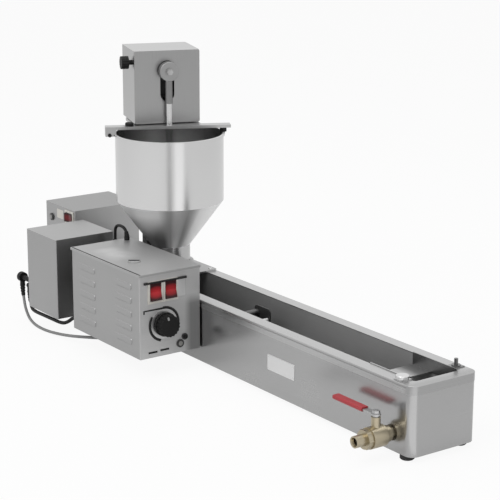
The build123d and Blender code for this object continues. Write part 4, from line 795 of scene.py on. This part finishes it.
def cut_plate(rim, thick):
    """A flat plate with an outline, in millimetres; its back is at z = 0, its top edge eased."""
    shape = bmesh.new()
    face = shape.faces.new([shape.verts.new((x * MM, y * MM, 0)) for x, y in rim])
    made = bmesh.ops.extrude_face_region(shape, geom=[face])
    top = [item for item in made["geom"] if isinstance(item, bmesh.types.BMVert)]
    bmesh.ops.translate(shape, verts=top, vec=(0, 0, thick * MM))
    lip = [item for item in made["geom"] if isinstance(item, bmesh.types.BMEdge)]
    ease = min(thick * EASE_SHARE, EASE_MOST) * MM
    bmesh.ops.bevel(shape, geom=lip, offset=ease, segments=2, affect="EDGES")
    bmesh.ops.recalc_face_normals(shape, faces=shape.faces)
    mesh = bpy.data.meshes.new("plate")
    shape.to_mesh(mesh)
    shape.free()
    return mesh


def rounded_plate(width, height, radius, thick):
    """A plate round its own middle with rounded corners, in millimetres."""
    rim = []
    for sign_x, sign_y, start in ((1, 1, 0), (-1, 1, 90), (-1, -1, 180), (1, -1, 270)):
        centre = (sign_x * (width / 2 - radius), sign_y * (height / 2 - radius))
        rim += arc(centre, radius, start, 90)
    return cut_plate(rim, thick)


def lay_plate(name, size, radius, thick, frame_in, spot, body, slot, finish, tilt=0.0):
    """A rounded plate laid on a surface with its middle at a spot, turned by a tilt in degrees."""
    mesh = rounded_plate(*size, radius, thick)
    there = Matrix.Translation(Vector((*spot, 0)) * MM)
    mesh.transform(frame_in @ there @ Matrix.Rotation(radians(tilt), 4, "Z"))
    add_piece(name, mesh, body, finish)


print("plate helpers ready")

# %% Plates and labels
PLATE, PLATE_AT, PLATE_T = (71, 26), (416.5, -56), 0.7
LABEL_T = 0.3
near_side = plane_at(place(0, edge("casing", 1, 0), 0), X, Z)
heater_side = plane_at(place(0, edge("heaterbox_shell", 1, 0), 0), X, Z)
bare = ("machine", "pale_eye", bare_plate)
lay_plate("side_plate", PLATE, 2.0, PLATE_T, near_side, PLATE_AT, *bare)
lay_plate("switch_label", (14, 30), 1.5, LABEL_T, panel, (-102, 29), *bare)
lay_plate("dial_disc", (51, 51), 25.4, LABEL_T, panel, KNOB, *bare)
lay_plate(
    "heater_label", (24, 17), 1.5, LABEL_T, heater_side, (-275, 57),
    "machine", "pale_plastic", finishes["pale_plastic"],
)

# %% The knob's pointer
POINTER_R, POINTER_TILT = 14.5, 17
knob_face = plane_at(place(edge("thermostat_knob", 0, 1), *KNOB), Y, Z)
aim = (-POINTER_R * sin(radians(POINTER_TILT)), POINTER_R * cos(radians(POINTER_TILT)))
lay_plate(
    "knob_pointer", (3.6, 6), 1.4, 0.5, knob_face, aim,
    "thermostat_dial", "pale_plastic", white_mark, POINTER_TILT,
)

# %% [markdown]
# ## The nut on the plunger's eye
# The eye at the top of the plunger rod sits on a stud, and a nut holds it there. The head
# looks along the tank, turned a little toward the control side, so the nut's frame is
# turned with it.

# %% Nut and stud
HEAD_TURN = radians(-19.5)
EYE_FACE = 9.0
NUT_R, NUT_T = 5.6, 4.0
outward = Vector((cos(HEAD_TURN), sin(HEAD_TURN), 0))
eye_low, eye_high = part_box("drive_eye")
eye_spot = ORIGIN + outward * EYE_FACE * MM
eye_spot.z = (eye_low.z + eye_high.z) / 2
eye_face = plane_at(eye_spot, Z.cross(outward), Z)
hexagon = [(NUT_R * cos(radians(60 * i)), NUT_R * sin(radians(60 * i))) for i in range(6)]
nut = cut_plate(hexagon, NUT_T)
nut.transform(eye_face)
plain = finishes["plain_steel"]
add_piece("eye_nut", nut, "plunger", plain)
stud_face = eye_face @ Matrix.Translation((0, 0, NUT_T * MM))
lay_plate("eye_stud", (6, 6), 2.99, 2.0, stud_face, (0, 0), "plunger", "plain_steel", plain)

# %% [markdown]
# ## Screws and rivets
# Slotted screws close the heater box and fix the hopper's seat; tiny ones without much
# height are the rivets of the bare plate. Every head is one instance on a point that knows
# which way it faces.

# %% A tree for slotted screws
HEAD_TOP = 0.78
BLADE_LONG, BLADE_THICK, BLADE_DEEP = 2.4, 0.26, 0.9
screws, put = new_tree("slotted screws", ["Radius", "Height"])
radius, height = put["Radius"], put["Height"]
top = radius * HEAD_TOP
sockets = {"Vertices": 20, "Radius Top": top, "Radius Bottom": radius, "Depth": height}
head = put["Geometry"].node("GeometryNodeMeshCone", None, sockets)
lift = head.node("ShaderNodeCombineXYZ", None, {"Z": height})
sockets = {"X": radius * BLADE_LONG, "Y": radius * BLADE_THICK, "Z": height * BLADE_DEEP}
size = head.node("ShaderNodeCombineXYZ", None, sockets)
blade = head.node("GeometryNodeMeshCube", None, {"Size": size})
blade = head.node("GeometryNodeTransform", None, {"Geometry": blade, "Translation": lift})
head = head.node("GeometryNodeMeshBoolean", {"operation": "DIFFERENCE"}, {0: head, 1: blade})
heading = head.node(
    "GeometryNodeInputNamedAttribute", {"data_type": "FLOAT_VECTOR"}, {"Name": "facing"},
)
turned = head.node("FunctionNodeAlignRotationToVector", {"axis": "Z"}, {"Vector": heading})
spots = head.node("GeometryNodeMeshToPoints", None, {0: put["Geometry"]})
sockets = {"Points": spots, "Instance": head, "Rotation": turned}
end_tree(screws, head.node("GeometryNodeInstanceOnPoints", None, sockets), put)
print("tree:", screws.name, len(screws.nodes), "nodes")


# %% Screw heads
def fixings(name, spots, heading, radius, height):
    """Bright screw heads at local places in millimetres, all facing one way."""
    mesh = bpy.data.meshes.new(name)
    mesh.from_pydata([place(*spot) for spot in spots], [], [])
    way = mesh.attributes.new("facing", "FLOAT_VECTOR", "POINT")
    for item in way.data:
        item.vector = heading
    bright = finishes["bright_steel"]
    result = grow(screws, mesh, {"Radius": radius * MM, "Height": height * MM}, bright)
    add_piece(name, result, "machine", bright)


RIVET_IN, COVER_IN = 3.5, 9
SEAT_TOP = 3.0
plate_face = edge("casing", 1, 0) - PLATE_T
rivets_x = [PLATE_AT[0] + side * (PLATE[0] / 2 - RIVET_IN) for side in (-1, 1)]
rivets_z = [PLATE_AT[1] + side * (PLATE[1] / 2 - RIVET_IN) for side in (-1, 1)]
fixings("plate_rivets", [(x, plate_face, z) for x in rivets_x for z in rivets_z], -Y, 1.4, 0.6)
back = edge("heaterbox_cover", 1, 1)
sides = (edge("heaterbox_cover", 0, 0) + COVER_IN, edge("heaterbox_cover", 0, 1) - COVER_IN)
heights = (edge("heaterbox_cover", 2, 0) + COVER_IN, edge("heaterbox_cover", 2, 1) - COVER_IN)
fixings("cover_screws", [(x, back, z) for x in sides for z in heights], Y, 3.4, 1.8)
fixings("seat_screws", [(x, y, SEAT_TOP) for x in (-46, 46) for y in (-54, 54)], Z, 3.8, 2.2)

# %% [markdown]
# ## Stage
# The machine stands on a plain pale floor under soft light. Steel shows what is round it,
# so mirror rays see the same white as the camera does, while the light that falls on the
# object stays at a plain level. The floor is mostly that white too, with enough of an
# ordinary matt surface left in it to keep the shadow.


# %% World
def empty_tree(owner):
    """The node tree of a world or a material, with nothing in it."""
    owner.use_nodes = True
    owner.node_tree.nodes.clear()
    return owner.node_tree


def seen_directly(tree):
    """1 for what the camera sees, and 1 for what a mirror or glass sees; both are 0 for light."""
    rays = Wire(tree).node("ShaderNodeLightPath")
    sockets = rays.socket.node.outputs
    names = ("Is Camera Ray", "Is Glossy Ray", "Is Transmission Ray")
    camera_ray, glossy, through = (Wire(tree, sockets[name]) for name in names)
    mirrors = glossy + through
    return camera_ray, mirrors.math("MINIMUM", mirrors, 1.0 - camera_ray)


WHITE = (1, 1, 1, 1)
WORLD_LIGHT = 0.55
world = bpy.data.worlds.new("studio")
bpy.context.scene.world = world
by_camera, by_mirror = seen_directly(empty_tree(world))
white = by_camera.node("ShaderNodeBackground", None, {"Color": WHITE, "Strength": 1.0})
soft = by_camera.node("ShaderNodeBackground", None, {"Color": WHITE, "Strength": WORLD_LIGHT})
both = by_camera.node("ShaderNodeMixShader", None, {0: by_camera + by_mirror, 1: soft, 2: white})
by_camera.node("ShaderNodeOutputWorld", None, {"Surface": both})
print("world:", world.name, "light:", WORLD_LIGHT)


# %% Floor
def quad(name, corners):
    """A flat piece of the stage with four corners, in metres."""
    mesh = bpy.data.meshes.new(name)
    mesh.from_pydata(corners, [], [(0, 1, 2, 3)])
    return add_object(name, mesh)


REACH = 30.0
CAMERA_WHITE, MIRROR_WHITE = 0.92, 0.5
floor = quad("floor", [(x * REACH, y * REACH, 0) for x, y in ((-1, -1), (1, -1), (1, 1), (-1, 1))])
pale = bpy.data.materials.new("pale floor")
by_camera, by_mirror = seen_directly(empty_tree(pale))
matt = by_camera.node("ShaderNodeBsdfDiffuse", None, {"Color": (0.85, 0.85, 0.85, 1)})
glow = by_camera.node("ShaderNodeEmission", None, {"Color": WHITE, "Strength": 1.0})
share = by_camera * CAMERA_WHITE + by_mirror * MIRROR_WHITE
both = by_camera.node("ShaderNodeMixShader", None, {0: share, 1: matt, 2: glow})
by_camera.node("ShaderNodeOutputMaterial", None, {"Surface": both})
floor.data.materials.append(pale)
print("floor reaches", REACH, "m")

# %% [markdown]
# ## What the steel reflects
# Three cards lie just over the floor, and only mirrors see them: a bright strip, a dark
# strip and the dark under the control box. Their places and brightness follow the picture.
# Unlike a painted shade, what they add moves over the steel as a reflection does.

# %% Cards on the floor
CARD_UP = 2


def floor_card(name, corners, glow):
    """A flat card just over the floor that only mirrors see; its corners are local x and y."""
    card = quad(name, [(*(ORIGIN.xy + Vector(spot) * MM), CARD_UP * MM) for spot in corners])
    card.visible_camera = card.visible_diffuse = card.visible_shadow = False
    paint = bpy.data.materials.new(name)
    sockets = {"Color": WHITE, "Strength": glow}
    light = Wire(empty_tree(paint)).node("ShaderNodeEmission", None, sockets)
    light.node("ShaderNodeOutputMaterial", None, {"Surface": light})
    card.data.materials.append(paint)
    print(name, "glow:", glow)


def wedge(bearing, half_angle, near, far):
    """The corners of a strip that runs out from under the hopper at a bearing in degrees."""
    first, last = radians(bearing - half_angle), radians(bearing + half_angle)
    turns = ((near, first), (near, last), (far, last), (far, first))
    return [(reach * cos(angle), reach * sin(angle)) for reach, angle in turns]


floor_card("bright_strip", wedge(-13, 9.5, 760, 2400), 1.25)
floor_card("dark_strip", wedge(-33.5, 4.5, 400, 2400), 0.45)
floor_card("box_shadow", [(-90, -178), (95, -178), (95, -70), (-90, -70)], 0.06)


# %% Lamps
def soft_lamp(name, spot, aim, size, power):
    """A square lamp at one spot that looks at another, in metres and watts."""
    lamp = bpy.data.lights.new(name, "AREA")
    lamp.size = size
    lamp.energy = power
    holder = add_object(name, lamp)
    holder.location = spot
    holder.rotation_euler = (Vector(aim) - Vector(spot)).to_track_quat("-Z", "Y").to_euler()


soft_lamp("key", (0.4, -1.9, 2.4), (0, 0, 0.2), 1.6, 26)
soft_lamp("top", (-0.2, 0.3, 2.8), (0, 0, 0.2), 1.8, 16)
bpy.context.scene.view_settings.view_transform = "Standard"
